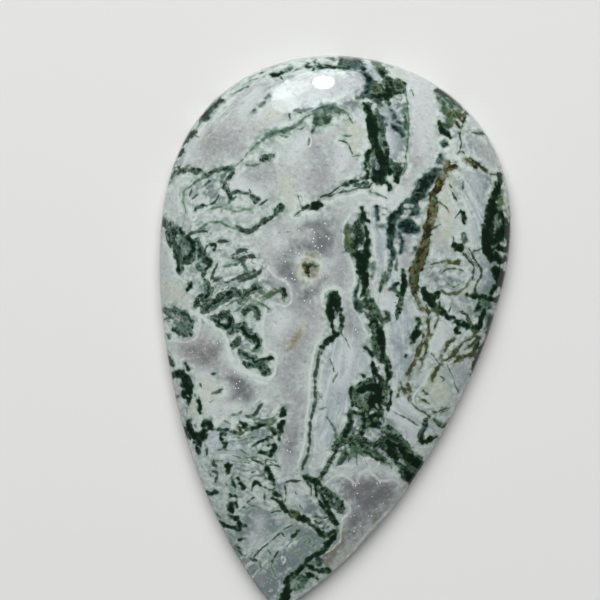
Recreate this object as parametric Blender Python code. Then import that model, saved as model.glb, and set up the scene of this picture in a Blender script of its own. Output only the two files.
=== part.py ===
"""A pear-shaped tree agate cabochon: a low polished dome on a thin girdle, with a flat back.

Metres, +Z up. The stone lies on its flat back with the crown up, its tip towards -Y.
The origin is the middle of the stone's length and width, on the surface it rests on.
"""

import functools
import math

import bmesh
import bpy
from mathutils import Vector

MM = 0.001

# Driving dimensions
LENGTH = 53.4 * MM  # round end to tip
WIDTH = 33.5 * MM  # across the shoulders
THICKNESS = 6.4 * MM  # back to crown
GIRDLE = 1.8 * MM  # height of the wall that a bezel grips
WALL_LEAN = 0.22 * MM  # how far the wall leans in from its foot to its top
BACK_BEVEL = 0.45 * MM  # width and height of the small slope ground round the back

# The pear's half width, squared, is (1 - t * t) times this polynomial in t, where t runs
# from -1 at the tip to 1 at the round end
PEAR = (1.0, 0.844, 0.328, 0.186, -0.198)

# The dome rises as a power of how deep a point lies inside the outline
DOME_POWER = 0.62
DOME_START = 0.02  # moves the start of the power, so that the dome leaves the wall at a slope

# Facets
STEPS_AROUND = 120
DOME_RINGS = 24
CROWN_LINE = 0.5  # the rings close on a line this share of the length, under the crown
MERGE = 0.01 * MM
SHARP_EDGE = math.radians(35)

AGATE_GREEN_GREY = (0.47, 0.53, 0.49, 1.0)
POLISH_ROUGHNESS = 0.12


def pear_polynomial(t):
    return sum(factor * t**power for power, factor in enumerate(PEAR))


def pear_depth(t):
    """The half width squared at t, before it is scaled to the stone's width."""
    return (1 - t * t) * pear_polynomial(t)


def deepest(steps=2000):
    """The half width squared at the shoulders, which lie between the middle and the round end."""
    return max(pear_depth(step / steps) for step in range(steps))


SHOULDER_DEPTH = deepest()


def outline(turn):
    """A point of the outline. Turn 0 is the round end, and half a circle is the tip."""
    t = math.cos(turn)
    across = math.sin(turn) * math.sqrt(pear_polynomial(t) / SHOULDER_DEPTH)
    return Vector((across * WIDTH / 2, t * LENGTH / 2, 0))


def inset_by(distance):
    """The scale at which the outline lies this far inside itself at the shoulders."""
    return 1 - distance / (WIDTH / 2)


def depth_inside(point, size):
    """0 on the outline drawn at this scale, and 1 at the stone's deepest point."""
    t = point.y / (size * LENGTH / 2)
    across = point.x / (size * WIDTH / 2)
    return max(0.0, pear_depth(t) / SHOULDER_DEPTH - across * across)


def dome_share(depth):
    """How far up the dome a point of this depth is, from 0 to 1."""
    start = DOME_START**DOME_POWER
    end = (1 + DOME_START) ** DOME_POWER
    return ((depth + DOME_START) ** DOME_POWER - start) / (end - start)


def back_edge_point(turn):
    return outline(turn) * inset_by(BACK_BEVEL)


def wall_foot_point(turn):
    point = outline(turn)
    point.z = BACK_BEVEL
    return point


def dome_point(share, turn):
    """A point of the dome: share 1 is the top of the wall, and 0 is the crown line."""
    size = inset_by(WALL_LEAN)
    point = outline(turn) * size
    point.x *= share
    point.y *= CROWN_LINE + (1 - CROWN_LINE) * share
    point.z = GIRDLE + (THICKNESS - GIRDLE) * dome_share(depth_inside(point, size))
    return point


def rings_above_back():
    """The rings that are raised on the back's edge, each as a function of the turn."""
    yield wall_foot_point
    for ring in range(DOME_RINGS + 1):
        yield functools.partial(dome_point, 1 - ring / DOME_RINGS)


def build_stone():
    """Starts from a circle round the back, and raises it ring by ring to the crown line."""
    bm = bmesh.new()
    bmesh.ops.create_circle(bm, cap_ends=False, radius=1, segments=STEPS_AROUND)
    turn_of = bm.verts.layers.float.new("turn")
    for vert in bm.verts:
        vert[turn_of] = math.atan2(vert.co.x, vert.co.y)
        vert.co = back_edge_point(vert[turn_of])
    back_edges = list(bm.edges)
    ring_edges = back_edges
    for ring_point in rings_above_back():
        made = bmesh.ops.extrude_edge_only(bm, edges=ring_edges)["geom"]
        ring_edges = [item for item in made if isinstance(item, bmesh.types.BMEdge)]
        for vert in made:
            if isinstance(vert, bmesh.types.BMVert):
                vert.co = ring_point(vert[turn_of])
    bmesh.ops.contextual_create(bm, geom=back_edges)
    bmesh.ops.remove_doubles(bm, verts=bm.verts, dist=MERGE)
    bmesh.ops.recalc_face_normals(bm, faces=bm.faces)
    bm.verts.layers.float.remove(turn_of)
    return bm


def agate_material():
    material = bpy.data.materials.new("tree_agate")
    material.use_nodes = True
    shader = material.node_tree.nodes["Principled BSDF"]
    shader.inputs["Base Color"].default_value = AGATE_GREEN_GREY
    shader.inputs["Roughness"].default_value = POLISH_ROUGHNESS
    shader.inputs["Metallic"].default_value = 0.0
    material.diffuse_color = AGATE_GREEN_GREY
    return material


def main():
    for thing in list(bpy.data.objects):
        bpy.data.objects.remove(thing)
    collection = bpy.data.collections.new("tree_agate_cabochon")
    bpy.context.scene.collection.children.link(collection)
    bm = build_stone()
    mesh = bpy.data.meshes.new("cabochon")
    bm.to_mesh(mesh)
    bm.free()
    mesh.materials.append(agate_material())
    mesh.shade_smooth()
    mesh.set_sharp_from_angle(angle=SHARP_EDGE)
    collection.objects.link(bpy.data.objects.new("cabochon", mesh))


main()
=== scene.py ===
"""The looks of a pear-shaped tree agate cabochon: its fine polished surface and its moss markings.

The stone lies on its flat back, its round end towards +Y, and is seen from straight above.
The markings are strokes drawn over the photograph, in its pixels (600 x 600). Each is a
list of (x, y, half width), and each table has them in groups, named after their form or their
place on the stone. The distance from every point of the surface to the nearest stroke of each
kind is kept as an attribute, and the agate material turns these into moss, veins and quartz.
"""

import math

import bmesh
import bpy
import numpy as np
from bpy.props import FloatProperty, FloatVectorProperty, IntProperty, PointerProperty
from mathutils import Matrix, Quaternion, Vector, noise


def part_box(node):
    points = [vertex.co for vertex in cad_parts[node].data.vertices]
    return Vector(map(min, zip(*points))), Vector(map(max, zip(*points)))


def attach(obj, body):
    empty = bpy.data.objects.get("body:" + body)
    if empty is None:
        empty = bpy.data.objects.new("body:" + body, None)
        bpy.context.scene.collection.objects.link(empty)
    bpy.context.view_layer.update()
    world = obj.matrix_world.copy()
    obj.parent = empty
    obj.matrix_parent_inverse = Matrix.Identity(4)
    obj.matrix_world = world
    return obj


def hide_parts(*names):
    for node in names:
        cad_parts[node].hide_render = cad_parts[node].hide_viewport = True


bl_info = {
    "name": "Tree agate cabochon",
    "version": (1, 0, 0),
    "blender": (4, 5, 0),
    "location": "3D View > Sidebar > Agate",
    "description": "Cuts and polishes a pear-shaped tree agate cabochon, and sets a studio round it",
    "category": "Add Mesh",
}

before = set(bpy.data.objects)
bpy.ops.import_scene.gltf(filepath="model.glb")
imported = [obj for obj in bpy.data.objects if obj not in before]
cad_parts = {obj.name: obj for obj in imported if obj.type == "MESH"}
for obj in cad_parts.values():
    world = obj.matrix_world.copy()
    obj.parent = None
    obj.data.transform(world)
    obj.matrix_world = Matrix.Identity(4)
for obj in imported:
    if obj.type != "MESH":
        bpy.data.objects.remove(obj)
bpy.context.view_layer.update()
STONE_LOW, STONE_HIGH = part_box("cabochon")

MM = 0.001

# The pear's half width, squared, is (1 - t * t) times this polynomial in t, where t runs
# from -1 at the tip to 1 at the round end
PEAR = (1.0, 0.844, 0.328, 0.186, -0.198)
DOME_POWER = 0.62
DOME_START = 0.02

# How the photograph shows the stone
PHOTO_MIDDLE = 300.0  # pixels, in both directions
PIXELS_PER_MM = 10.49
TILT = math.radians(8.59)  # the stone's long axis leans right by this
AIM = Vector((-2.42, 2.83, 0.0)) * MM  # the point of the stone at the photograph's middle

# The lamps stand where the dome near its round end mirrors them to the camera
HIGHLIGHT = (-3.7, 22.6, 4.2)  # mm
LAMP_DISTANCE = 300 * MM
WINDOW_TURN, WINDOW_RISE, WINDOW_ROLL = math.radians(103.9), math.radians(30.7), math.radians(58)
WINDOW_SIZE = (243 * MM, 144 * MM)
PANE_TURN, PANE_RISE = math.radians(116.0), math.radians(31.3)
PANE_SIZE = (84 * MM, 84 * MM)
BULB_TURN, BULB_RISE = math.radians(101.4), math.radians(29.3)
BULB_SIZE = (36 * MM, 72 * MM)
PANE_NEARER, BULB_NEARER = 0.98, 0.95  # of the window's distance, so both are in front of it
DAYLIGHT = (0.9, 0.96, 1.0)

# The rest of the studio
SKY_SIZE = (0.9, 0.9)
SKY_PLACE = Vector((-0.12, 0.42, 0.72))
WORLD_COLOUR = (0.9, 0.95, 1.0, 1.0)
WORLD_STRENGTH = 0.06
FLOOR_MOTTLE = (0.6, 0.6, 0.6)
FLOOR_ROUGHNESS = 0.7
SENSOR_WIDTH = 36.0  # mm
NEAREST_SEEN = 10 * MM

# The markings wander from their strokes in long and in short waves, this many pixels at most
LONG_WAVE, SHORT_WAVE = 2.4 * MM, 0.75 * MM
LONG_SEED, SHORT_SEED = 3, 11
WANDER = 1.4
WANDER_ON_WALL = 24  # more at the wall's foot, where the strokes would only run straight down
FAR_OFF = 1e3  # pixels, farther than any stroke is
FIBRE_SHIFT = 100  # pixels, which part the grain of one fibre stroke from the next

# How the material fades a marking out, in mm from its stroke's edge
MOSS_EDGE = (-0.03, 0.12)
INK_EDGE = (-0.1, 0.26)
OLIVE_EDGE = (-0.04, 0.12)
LINE_REACH = (0.08, 0.16)
STREAK_REACH = (-0.4, 0.3)

# The grain along a fibre or a vein, as a share of the grain across it
STREAK_DRAWN_OUT = 0.16
OLIVE_DRAWN_OUT = 0.2

# Painted shade: the stone's colour is mixed towards the shade colour towards its tip, where the dome slopes
# away from the light
TIP_SHADE_FROM, TIP_SHADE_TO = -24, -8  # mm along the stone, where it darkens towards its tip
# Painted glints: bright specks painted into the quartz's colour, where crystal faces inside it would catch
# the light
CRYSTALS_PER_MM = 3.5
GLINT_SIZE = 0.21  # of a crystal
GLINT_RARITY = 0.78  # the share of the crystals that stay dull

# Thick dark moss
MOSS = {
    "crown": [[(340, 57, 1.6), (346, 56, 2), (352, 57, 2.6), (359, 57, 2), (366, 57.6, 1.4),
      (372, 58.6, 1.2), (377, 60, 0.9)],
      [(372, 96, 2.6), (379, 97, 3.4), (385, 95, 4), (390, 94, 3), (387, 99, 3), (382, 101, 1.8)],
      [(385, 61.6, 0.8), (389, 63, 1.4), (393, 65, 1)], [(379, 67, 1.6), (380, 70, 1.8)],
      [(382, 72, 2), (383, 75, 1.8)], [(340.6, 56, 1.1), (340, 61, 1.4), (342, 66, 0.9)]],
    "trunk": [[(365, 104, 2.2), (367, 108, 3.8), (370, 113, 4), (372, 118, 5), (373, 124, 6.4),
      (374, 131, 6.6), (375, 139, 5.6), (377, 147, 4.4), (379, 154, 5.4), (380, 162, 6.4), (380, 170, 7.6),
      (379, 177, 8)], [(369, 150, 2.2), (368, 156, 2.8), (366, 163, 1.8), (367, 170, 1.8), (369, 176, 2)],
      [(386, 181, 2), (390, 186, 1.9), (388.6, 191, 0.9)],
      [(400, 171, 1.6), (398, 175, 3), (396, 179, 3.4), (397, 182, 2.2)],
      [(381, 138, 1.4), (385, 144, 1.3), (388.4, 148.6, 1)],
      [(386, 151, 2.2), (386, 158, 2.6), (388, 166, 2.6), (390, 172, 2.6)],
      [(371, 175, 2.4), (364, 178, 2), (357, 180, 1.7), (349, 184, 1.4), (342, 185.6, 0.9)]],
    "left rim": [[(220, 101, 3.2), (214, 104, 2.8), (209, 108, 3), (206, 113, 3.2), (202, 118, 3)],
      [(183.6, 137.4, 1.4), (188, 136, 3.2), (191, 134, 3.4), (195, 132, 2)],
      [(182, 149.6, 1), (179, 153, 2.6), (176, 155, 2.4), (174, 160, 1)],
      [(190, 138, 1.4), (186, 140.6, 1.4), (181.6, 143.4, 1.2)]],
    "gate": [[(304, 209, 2.2), (311, 207, 2.5), (317, 205, 2.8), (322, 206, 1.5)]],
    "plume left": [
      [(163, 216, 1.2), (165, 224, 2), (169, 238, 1.4), (174, 250, 1.8), (178, 262, 2), (180, 271, 2)],
      [(181, 230, 2), (187, 238, 2.4), (192, 245, 2.6), (191, 254, 2.4), (184, 258, 2.2)]],
    "plume": [[(204, 250, 0.7), (207, 246.6, 1.2), (212, 244.6, 1.4), (216, 246, 1.6), (214, 250, 1)],
      [(204, 255.6, 1.2), (209, 259, 1.6), (209, 265, 1.6), (205, 270, 2), (200, 270, 1.4)],
      [(214, 319, 1.9), (220, 323, 2.6), (226, 326, 2.4), (231, 321, 1.7), (230, 315, 1.2)],
      [(237, 327, 1.7), (242, 328, 2.6), (247, 335, 2.4), (254, 338, 2.9), (258, 343, 2.6),
      (256, 349, 1.7)], [(242, 354, 1.2), (248, 357, 2.2), (253, 360, 2.2)],
      [(278, 290, 2), (283, 291, 2.2), (285, 297, 2), (283, 301, 1.2)],
      [(250, 307, 1.9), (255, 309, 2.6), (258, 315, 1.9)]],
    "plume stem": [[(207, 283, 1.9), (209, 290, 1.9), (205, 297, 1.9)],
      [(191.3, 282, 1), (190, 286, 1.7), (188.4, 289, 1)]],
    "plume middle": [[(206, 309, 1.9), (214, 302, 2.2), (222, 297, 1.9), (230, 292, 2.4), (236, 291, 1.9),
      (240, 295, 1.7)], [(243, 299, 1.4), (248, 293, 2.4), (255, 289, 2.4)]],
    "plume end": [[(254, 363, 1.7), (260, 361, 1.9), (266, 359.4, 1.7), (272.6, 358, 1.1)],
      [(260, 367, 1.9), (264, 372, 2.4), (266, 375, 1.2)]],
    "tail": [[(335, 297, 6), (333, 303, 6.6), (332, 310, 6.2), (331, 315, 4.4)],
      [(330, 316, 3), (332, 324, 1.8), (334, 332, 2)], [(339, 298, 2.6), (340, 308, 2.2), (341, 317, 1.8),
      (341, 325, 1.8), (338, 332, 2), (334, 336, 2.8), (330, 340, 2.6), (326, 344, 2.2), (322, 349, 2)]],
    "left": [[(165, 355, 2), (169, 360, 2.6), (171, 365, 1.8)], [(186, 364, 1.2), (189, 369, 1.6)]],
    "plume A": [[(361, 207, 0.9), (364, 213, 1.6), (367, 219, 1.5), (370, 222, 0.8)],
      [(366, 231, 2.2), (368, 239, 2.2), (367, 247, 3), (366, 255, 4.4), (358, 255, 4.4), (352, 255, 2.6)],
      [(362, 259, 6), (362, 265, 6.6), (363, 272, 5.6), (365, 279, 3.8), (365, 286, 2.8), (364, 293, 2.4),
      (362, 298, 1.2)], [(372, 322, 2.6), (376, 322, 2.4), (378, 328, 2.4), (380, 332, 4.6), (380, 338, 5),
      (382, 346, 3.4), (382, 353, 3.8), (383, 360, 3), (386, 367, 2.8), (388, 374, 2.6), (389, 379, 2)],
      [(362, 214, 1.4), (363, 221, 1.6), (365, 227, 1.8), (367, 233, 2)],
      [(371, 315, 2.4), (373, 315, 1.6)], [(364, 303, 1.4), (368, 305, 1.8), (371, 308, 1.4)]],
    "band": [[(403, 272, 2.2), (405, 278, 2.8), (405, 286, 3), (402, 293, 2.6)]],
    "lens": [[(416, 328, 2.6), (416, 334, 4.4), (413, 339, 2.6), (413, 343, 2)],
      [(418, 321, 2.8), (419, 324, 2.2)]],
    "olive": [[(424, 290, 2.6), (427, 297, 5), (433, 298, 4), (439, 294, 2)],
      [(430, 303, 3.4), (436, 309, 2.8), (442, 314, 2)],
      [(428, 240, 2), (423, 254, 4.4), (418, 267, 4.8), (414, 280, 4.6), (416, 289, 3.4)]],
    "right edge": [[(500, 174, 1.6), (498, 182, 2.4), (496, 193, 3.4), (493, 204, 4.4), (490, 217, 5.4),
      (488, 230, 5.4), (488, 241, 5.4), (489, 251, 5), (492, 260, 3.6)],
      [(500, 212, 2.4), (503, 221, 3.4), (505, 229, 6), (500, 234, 4.6), (496, 241, 4)],
      [(495, 269, 3.6), (499, 274, 6), (500, 281, 4)], [(499, 281, 3), (494, 288, 2.4), (489, 297, 2)],
      [(486, 297, 2), (492, 299, 2), (497, 296, 1.6)],
      [(497, 248, 3), (503, 250, 2.6), (509, 247, 3), (508, 240, 2.4), (510, 232, 2)],
      [(496, 256, 3), (500, 262, 3), (505, 259, 2.4)]],
    "right patch": [[(438, 90, 2.4), (446, 93, 3.4), (453, 98, 2.4)],
      [(438, 123, 2), (441, 130, 3.2), (446, 134, 2.8), (450, 138, 1.2)]],
    "right": [[(454, 240, 1.6), (455, 246, 3), (460, 248, 3), (462, 247, 1.6)],
      [(460, 211, 1.4), (463, 216, 2.2), (465.4, 223, 1.4)]],
    "fork": [[(338, 446, 2.2), (334, 454, 1.8), (330, 463, 1.4), (326, 471, 1.4), (322, 477, 1)],
      [(405, 470, 3), (409, 476, 5), (413, 481, 4)],
      [(351.8, 385, 0.8), (352, 396, 0.9), (352.4, 408, 0.8)],
      [(365, 420, 1.8), (364, 427, 2.2), (361, 434, 2.2)],
      [(360, 389, 3.6), (367, 388, 5), (377, 390, 6), (379, 398, 6), (371, 401, 6), (377, 407, 4.6)],
      [(370, 418, 3.4), (376, 415, 4), (381, 419, 3), (379, 425, 3.4), (372, 425, 3)],
      [(361, 445.4, 1.4), (368, 447, 2), (376, 446, 2.4)], [(364.6, 346, 1.1), (369, 350, 1.5),
      (372, 355, 1.4), (373, 362, 1.4), (375, 369, 2.5), (376, 374, 3.4), (377, 380, 4.5)]],
    "fork leg": [
      [(388, 443, 3), (394, 447, 4.4), (402, 451, 4.6), (409, 458, 4), (416, 462, 5), (421, 465, 4)],
      [(388, 452, 3.4), (395, 457, 3.4), (402, 461, 2.6)]],
    "left leaf": [[(219, 430, 0.8), (223, 430.6, 1.4), (226.4, 428.6, 1.2), (230, 430.4, 1.2),
      (236, 431.8, 1.2), (242, 432, 1.4), (247, 429.6, 1.4), (254, 427.6, 1.2), (261, 425, 1.4),
      (266, 423, 1)], [(241, 422, 2), (244, 424, 2.6), (242, 427, 1.6)],
      [(284, 409, 1.6), (284, 413, 3.2), (283, 416, 2)],
      [(283, 422, 1.6), (281, 426, 2.4), (280, 431, 2.4), (279, 438, 1.8)],
      [(222, 433, 1.6), (224, 434.6, 1.2)], [(236.6, 424.6, 0.9), (238.4, 428.6, 1.2), (241, 431, 1.2)],
      [(273.6, 431.6, 0.8), (277, 434, 1.4)],
      [(221.4, 437.6, 1.2), (223, 442, 1.8), (226, 444.6, 1.4), (225, 449, 1.2)]],
    "left fin": [[(274, 445, 1.6), (273, 449, 2.4), (271, 455, 1.8)],
      [(253.6, 445.4, 1.4), (257, 443, 1.9), (262, 440.6, 1), (268, 438.6, 0.9), (272, 437, 0.7)],
      [(263, 446.6, 0.9), (268.6, 445.4, 0.9)], [(258, 451, 0.8), (264, 452.8, 1.2), (270, 453.4, 1)]],
    "left bead": [[(226, 466, 2), (230, 467, 2.8)], [(230.6, 479, 1.4), (233, 483, 1.8)],
      [(240.6, 483, 1.4), (243, 486, 1.9), (243.4, 488.6, 1)],
      [(252, 489.6, 0.9), (253, 484, 1.7), (257, 482, 1.6), (260.6, 485, 1)],
      [(227.4, 470, 1.4), (228, 474, 1)], [(234, 485, 1.2), (236.4, 489, 1.2)],
      [(237.6, 478, 1.1), (240, 479.4, 1.1)]],
    "left string": [[(230, 503, 2.4), (231, 508, 3.2), (232, 512, 2.4)],
      [(220, 521.6, 1), (223, 525, 2), (229, 527, 2.2), (236, 528, 2.2), (242, 526, 1.8)],
      [(230, 516, 1.6), (236, 519, 3), (240, 523, 2.4)]],
    "tip": [[(326, 548, 2.2), (319, 553, 2.2), (312, 557, 2), (306, 562, 2.2), (300, 567, 2.4),
      (294, 573, 2.2), (289, 578, 2.6), (287, 585, 3.2), (285, 593, 4.2), (284, 602, 5.6)],
      [(302, 563, 1.4), (309, 566, 2.4), (315, 571, 2.2), (322, 572, 2.2), (329, 571, 1.8)],
      [(306, 572, 1.4), (312, 577, 2), (318, 580, 1.6)],
      [(337, 531, 1.6), (334, 536, 2.8), (329, 542, 3.2), (325, 548, 2.6)]],
    "wedge": [[(285, 509, 2), (291, 513, 3), (297, 516, 3), (303, 519, 2.8), (309, 522, 2.6),
      (314, 527, 2.6), (319, 531, 2.8), (324, 535, 2.6)],
      [(305, 477, 1.8), (310, 479, 3.2), (316, 481, 4), (317, 486, 2.7)], [(315, 484, 1.6),
      (316.6, 492, 1.3), (319, 500, 1.4), (323, 506, 1.8), (328, 512, 2.2), (333, 517, 2.5),
      (336, 524, 2.7)], [(335.6, 529, 2.3), (330, 532.6, 2.3), (323, 532, 2)],
      [(308, 481, 1.8), (310, 486, 1.4)], [(318, 487, 1.8), (321, 493, 2.2), (324, 500, 2.3),
      (328, 508, 2.5), (332, 516, 2.7), (335, 524, 2.7)]],
    # Painted shade: these dark strokes along the right rim are partly dark moss at the rim and mostly the
    # shade on the stone's right wall, painted as dark moss
    "right wall shade": [[(503, 167, 1.2), (508, 178, 1.8), (511, 190, 2.2), (512, 205, 2.4), (513, 218, 2.4),
      (511, 250, 2), (508, 270, 2.4), (504, 286, 2)], [(492, 318, 2.4), (489, 330, 2.6), (484, 343, 2.4),
      (480, 352, 3.2), (476, 361, 3.2), (474, 369, 2.4), (472.5, 377, 1.4)]],
    "right net": [[(469, 296, 2), (476, 296, 2.2), (482, 297, 1.8)],
      [(480, 300, 1.6), (479, 308, 2.4), (475, 311, 1.6)],
      [(484, 309, 1.6), (482, 320, 2.2), (480, 327, 2.8), (475, 328, 2.4)],
      [(464, 324, 1.8), (469, 328, 2.6), (473, 327, 2)], [(474, 335, 2.4), (477, 342, 2.6), (474, 350, 2)]],
    "right low": [[(443, 426, 1.3), (449, 424, 1.4), (455, 420, 1.3)],
      [(422, 439, 2.4), (425, 441, 2.7), (431, 439, 1.9), (436, 438, 0.8)]],
    "lobe": [[(166, 309, 1.4), (172, 308, 1.6)], [(178, 310, 1.2), (185, 313, 1.8)],
      [(189, 317, 1.4), (192, 322, 1.6)], [(173, 331, 1.6), (178, 333, 1.8)],
      [(182, 329, 1), (183, 335, 1.8)], [(187, 329, 1), (190, 333, 1.8)],
      [(165.4, 320, 1), (170, 317.6, 1)], [(167.6, 334.6, 1.4), (168.4, 336, 1)]],
    "fork spot": [[(363, 376, 1.6), (363.4, 378.4, 1.4)], [(362.6, 375.6, 0.9), (363, 378, 1.7)]],
    "fork hook": [[(351, 413, 1.8), (356, 412, 1.8), (363, 413, 2.2), (363.6, 418, 1.4)],
      [(351, 414, 2), (351, 421, 2.4), (349, 428, 3), (345, 436, 3.6)]],
    "fork right": [[(386, 364, 1.2), (387, 371, 1.6), (390, 376.6, 1.4)],
      [(386, 381, 1), (389, 387, 1.5), (391, 396, 1.4), (390, 404, 1.6), (388.6, 410, 1.2)]],
    "dome": [[(370, 84, 2), (369, 90, 2.2), (372, 95, 2.4), (377, 97, 2.2), (382, 94, 2.6), (383, 88, 2),
      (379, 82.6, 1.4), (373.6, 82, 1.2)], [(387, 85, 2.6), (388, 90, 3), (393, 92, 2.4), (400, 93, 1.8),
      (404.6, 90, 1.4), (404, 84.6, 1), (400, 80.4, 0.9)], [(391, 84, 2), (394, 88, 2.4)]],
    "left tick": [[(187, 402, 1.4), (187.6, 409, 0.9)],
      [(196, 396, 0.9), (198, 402, 1.8), (199, 408, 1.8), (200.6, 414, 0.8)]],
    "string": [[(230, 493.4, 1.2), (231, 495.4, 1.3)], [(235.6, 494, 1.4), (236.2, 498, 1.3)],
      [(236, 502, 1.2), (236.6, 505.4, 1.1)]],
    "fan": [[(329, 493, 0.9), (335, 498, 1.1), (340.6, 503.4, 1.3), (344, 508, 1)],
      [(321, 485, 1.6), (325, 491, 1.8), (330, 498, 1.6), (335, 505, 1.2), (338.6, 511, 0.9)]],
    "left shore": [[(188.6, 167.6, 1.2), (189.6, 164.8, 0.9)], [(174, 168, 1.2), (177, 168, 1.6)],
      [(200, 168.4, 1.1), (202, 171, 1)]],
    "fibre": [[(273, 74, 1.8), (276, 75, 1.8), (279.6, 72.4, 1), (282, 71.4, 0.8)],
      [(306.6, 66, 1.2), (311, 63.8, 1.3), (315.6, 64, 1.4), (319, 66, 1.7), (322, 68, 1)],
      [(307, 67.2, 1.2), (313, 68.2, 1.4), (320, 68.4, 1.3), (328, 67.6, 1), (337, 66.8, 1.1),
      (346, 67.8, 1.4)]],
    "highlight": [[(294.6, 110.6, 1.4), (299, 111, 1.9), (303.4, 109.6, 1.2)]],
    "dark": [[(266.6, 463, 1.4), (268, 468, 2.8), (270, 474, 3.1), (272, 480, 2.8), (273.4, 484, 1.4)]],
    "zigzag": [[(432, 304, 2), (438, 308, 1.8), (444, 312, 2), (448, 317, 2.2), (453, 318, 1.8)],
      [(455, 323, 2.2), (459, 325, 1.6), (456, 330, 1.8), (458, 333, 1.2)]],
    "rim": [[(327, 55, 0.8), (330, 56.6, 1.2), (333.6, 59, 1.1)]],
    "left black": [
      [(173, 375, 2), (179, 373, 3.2), (185, 376, 4.3), (187, 384, 5.4), (188, 391, 5.6), (187, 397, 4.1)],
      [(173, 398, 2.3), (177, 397, 1.4)]],
    "left teal": [[(189, 421, 2.3), (190, 429, 3.2), (194, 436, 4.3), (198, 442, 4.1)],
      [(205, 424, 3.1), (211, 423, 2.9), (210, 428, 2.7)], [(204, 432, 3.2), (202, 438, 4.1)],
      [(197, 448, 2.2), (199, 453, 1.8)], [(183.6, 424, 0.7), (186.6, 432, 1.2), (189.4, 440, 0.9)]],
    "hinge": [[(273.6, 490, 1.3), (276, 495, 1.6), (280, 495.6, 1.1)],
      [(272, 497.6, 1.3), (277, 500, 1.8), (282, 503, 2.3), (284, 508, 2.2), (286, 512, 1.4)]],
    "left low": [[(207, 491, 1.4), (211, 493, 2.2), (215, 494, 1.6), (216, 490.6, 0.9)],
      [(238, 539.4, 1.3), (244, 538, 1.4)]],
    "strand": [[(405.6, 356.6, 1.1), (406.6, 355.6, 1)]],
    "bead": [[(240, 526, 1.8), (246.6, 525.4, 1.1)]],
    "slab": [[(291.4, 538.4, 0.8), (296, 533.6, 0.9), (300, 530.6, 0.7)]],
}

# Blue-black moss that lies a little under the surface
INK = {
    "blot": [[(403, 226, 4), (409, 223, 5.4), (411, 228, 6.4), (417, 230, 3.6), (405, 232, 2.6)],
      [(412, 215, 2), (415, 213, 3.4), (417.4, 210, 1.4)],
      [(400, 235, 1.8), (402, 241, 2), (402, 247, 2.8), (402, 252, 2)], [(415, 250, 2)]],
    "band": [[(437, 171, 3.4), (431, 178, 5.6), (425, 186, 6.8), (420, 194, 6), (413, 200, 4)],
      [(394, 218, 4), (392, 224, 3.8), (392, 234, 3.6), (391, 244, 3), (393, 252, 3), (393, 258, 2.4)],
      [(408, 202, 2), (403, 206, 3), (400, 212, 4), (396, 216, 4)],
      [(391, 289, 1.6), (395, 286, 2.2), (398.4, 284, 1.4)]],
    "band specks": [[(376, 207, 1.4), (377, 211, 2)], [(378, 215, 1), (379, 220, 1.8)],
      [(379.6, 224, 1), (383, 227, 1.8)]],
    "dot": [[(444, 144, 3.2)], [(442, 155, 1.8), (440, 162, 2.4)]],
    "right": [[(491, 317, 1.8), (490, 325, 2)]],
    "crown": [[(347, 55, 1.4), (346.6, 61, 1.5), (348, 67, 1.3)],
      [(353, 57, 1.8), (354, 63, 1.6), (355, 68, 1.2)], [(358, 60, 2.2), (361, 65, 3), (365, 70, 2.4),
      (369, 75, 2), (371, 80, 2.2), (368, 86, 1.6), (367, 92, 1.8), (362, 96, 1.6), (357.6, 99, 0.8)],
      [(367, 93, 2), (369, 97, 1.8), (364, 97, 1.6)], [(359, 58, 2.4), (360, 64, 2.6), (363, 69, 2.4)],
      [(365, 73, 2), (369, 80, 2.4), (369, 88, 2.4), (366, 94, 2)]],
    "band toe": [[(391.4, 258, 1), (391, 264, 0.9), (391.4, 270, 0.8)],
      [(395.6, 258, 1), (396.6, 264, 0.9), (396.4, 270, 0.8)]],
    "plume": [[(359, 281, 0.9), (356.8, 289, 1.5), (356, 299, 1.8), (358, 306, 2.4), (360, 311, 2)]],
    "clump": [[(391, 111, 1.4), (393.6, 116, 1.9), (393, 120, 1.2)],
      [(396, 121.6, 1), (402, 125, 0.9), (408, 129.6, 0.8)],
      [(381, 116, 1.2), (385, 121, 1.6), (386, 126, 1.2)],
      [(391, 125, 1.8), (396, 129, 2.4), (401, 132, 2.4), (403, 136, 1.4)]],
    "teal": [[(391, 161, 1.6), (395, 163.6, 1), (398.4, 168, 0.9)]],
}

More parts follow.
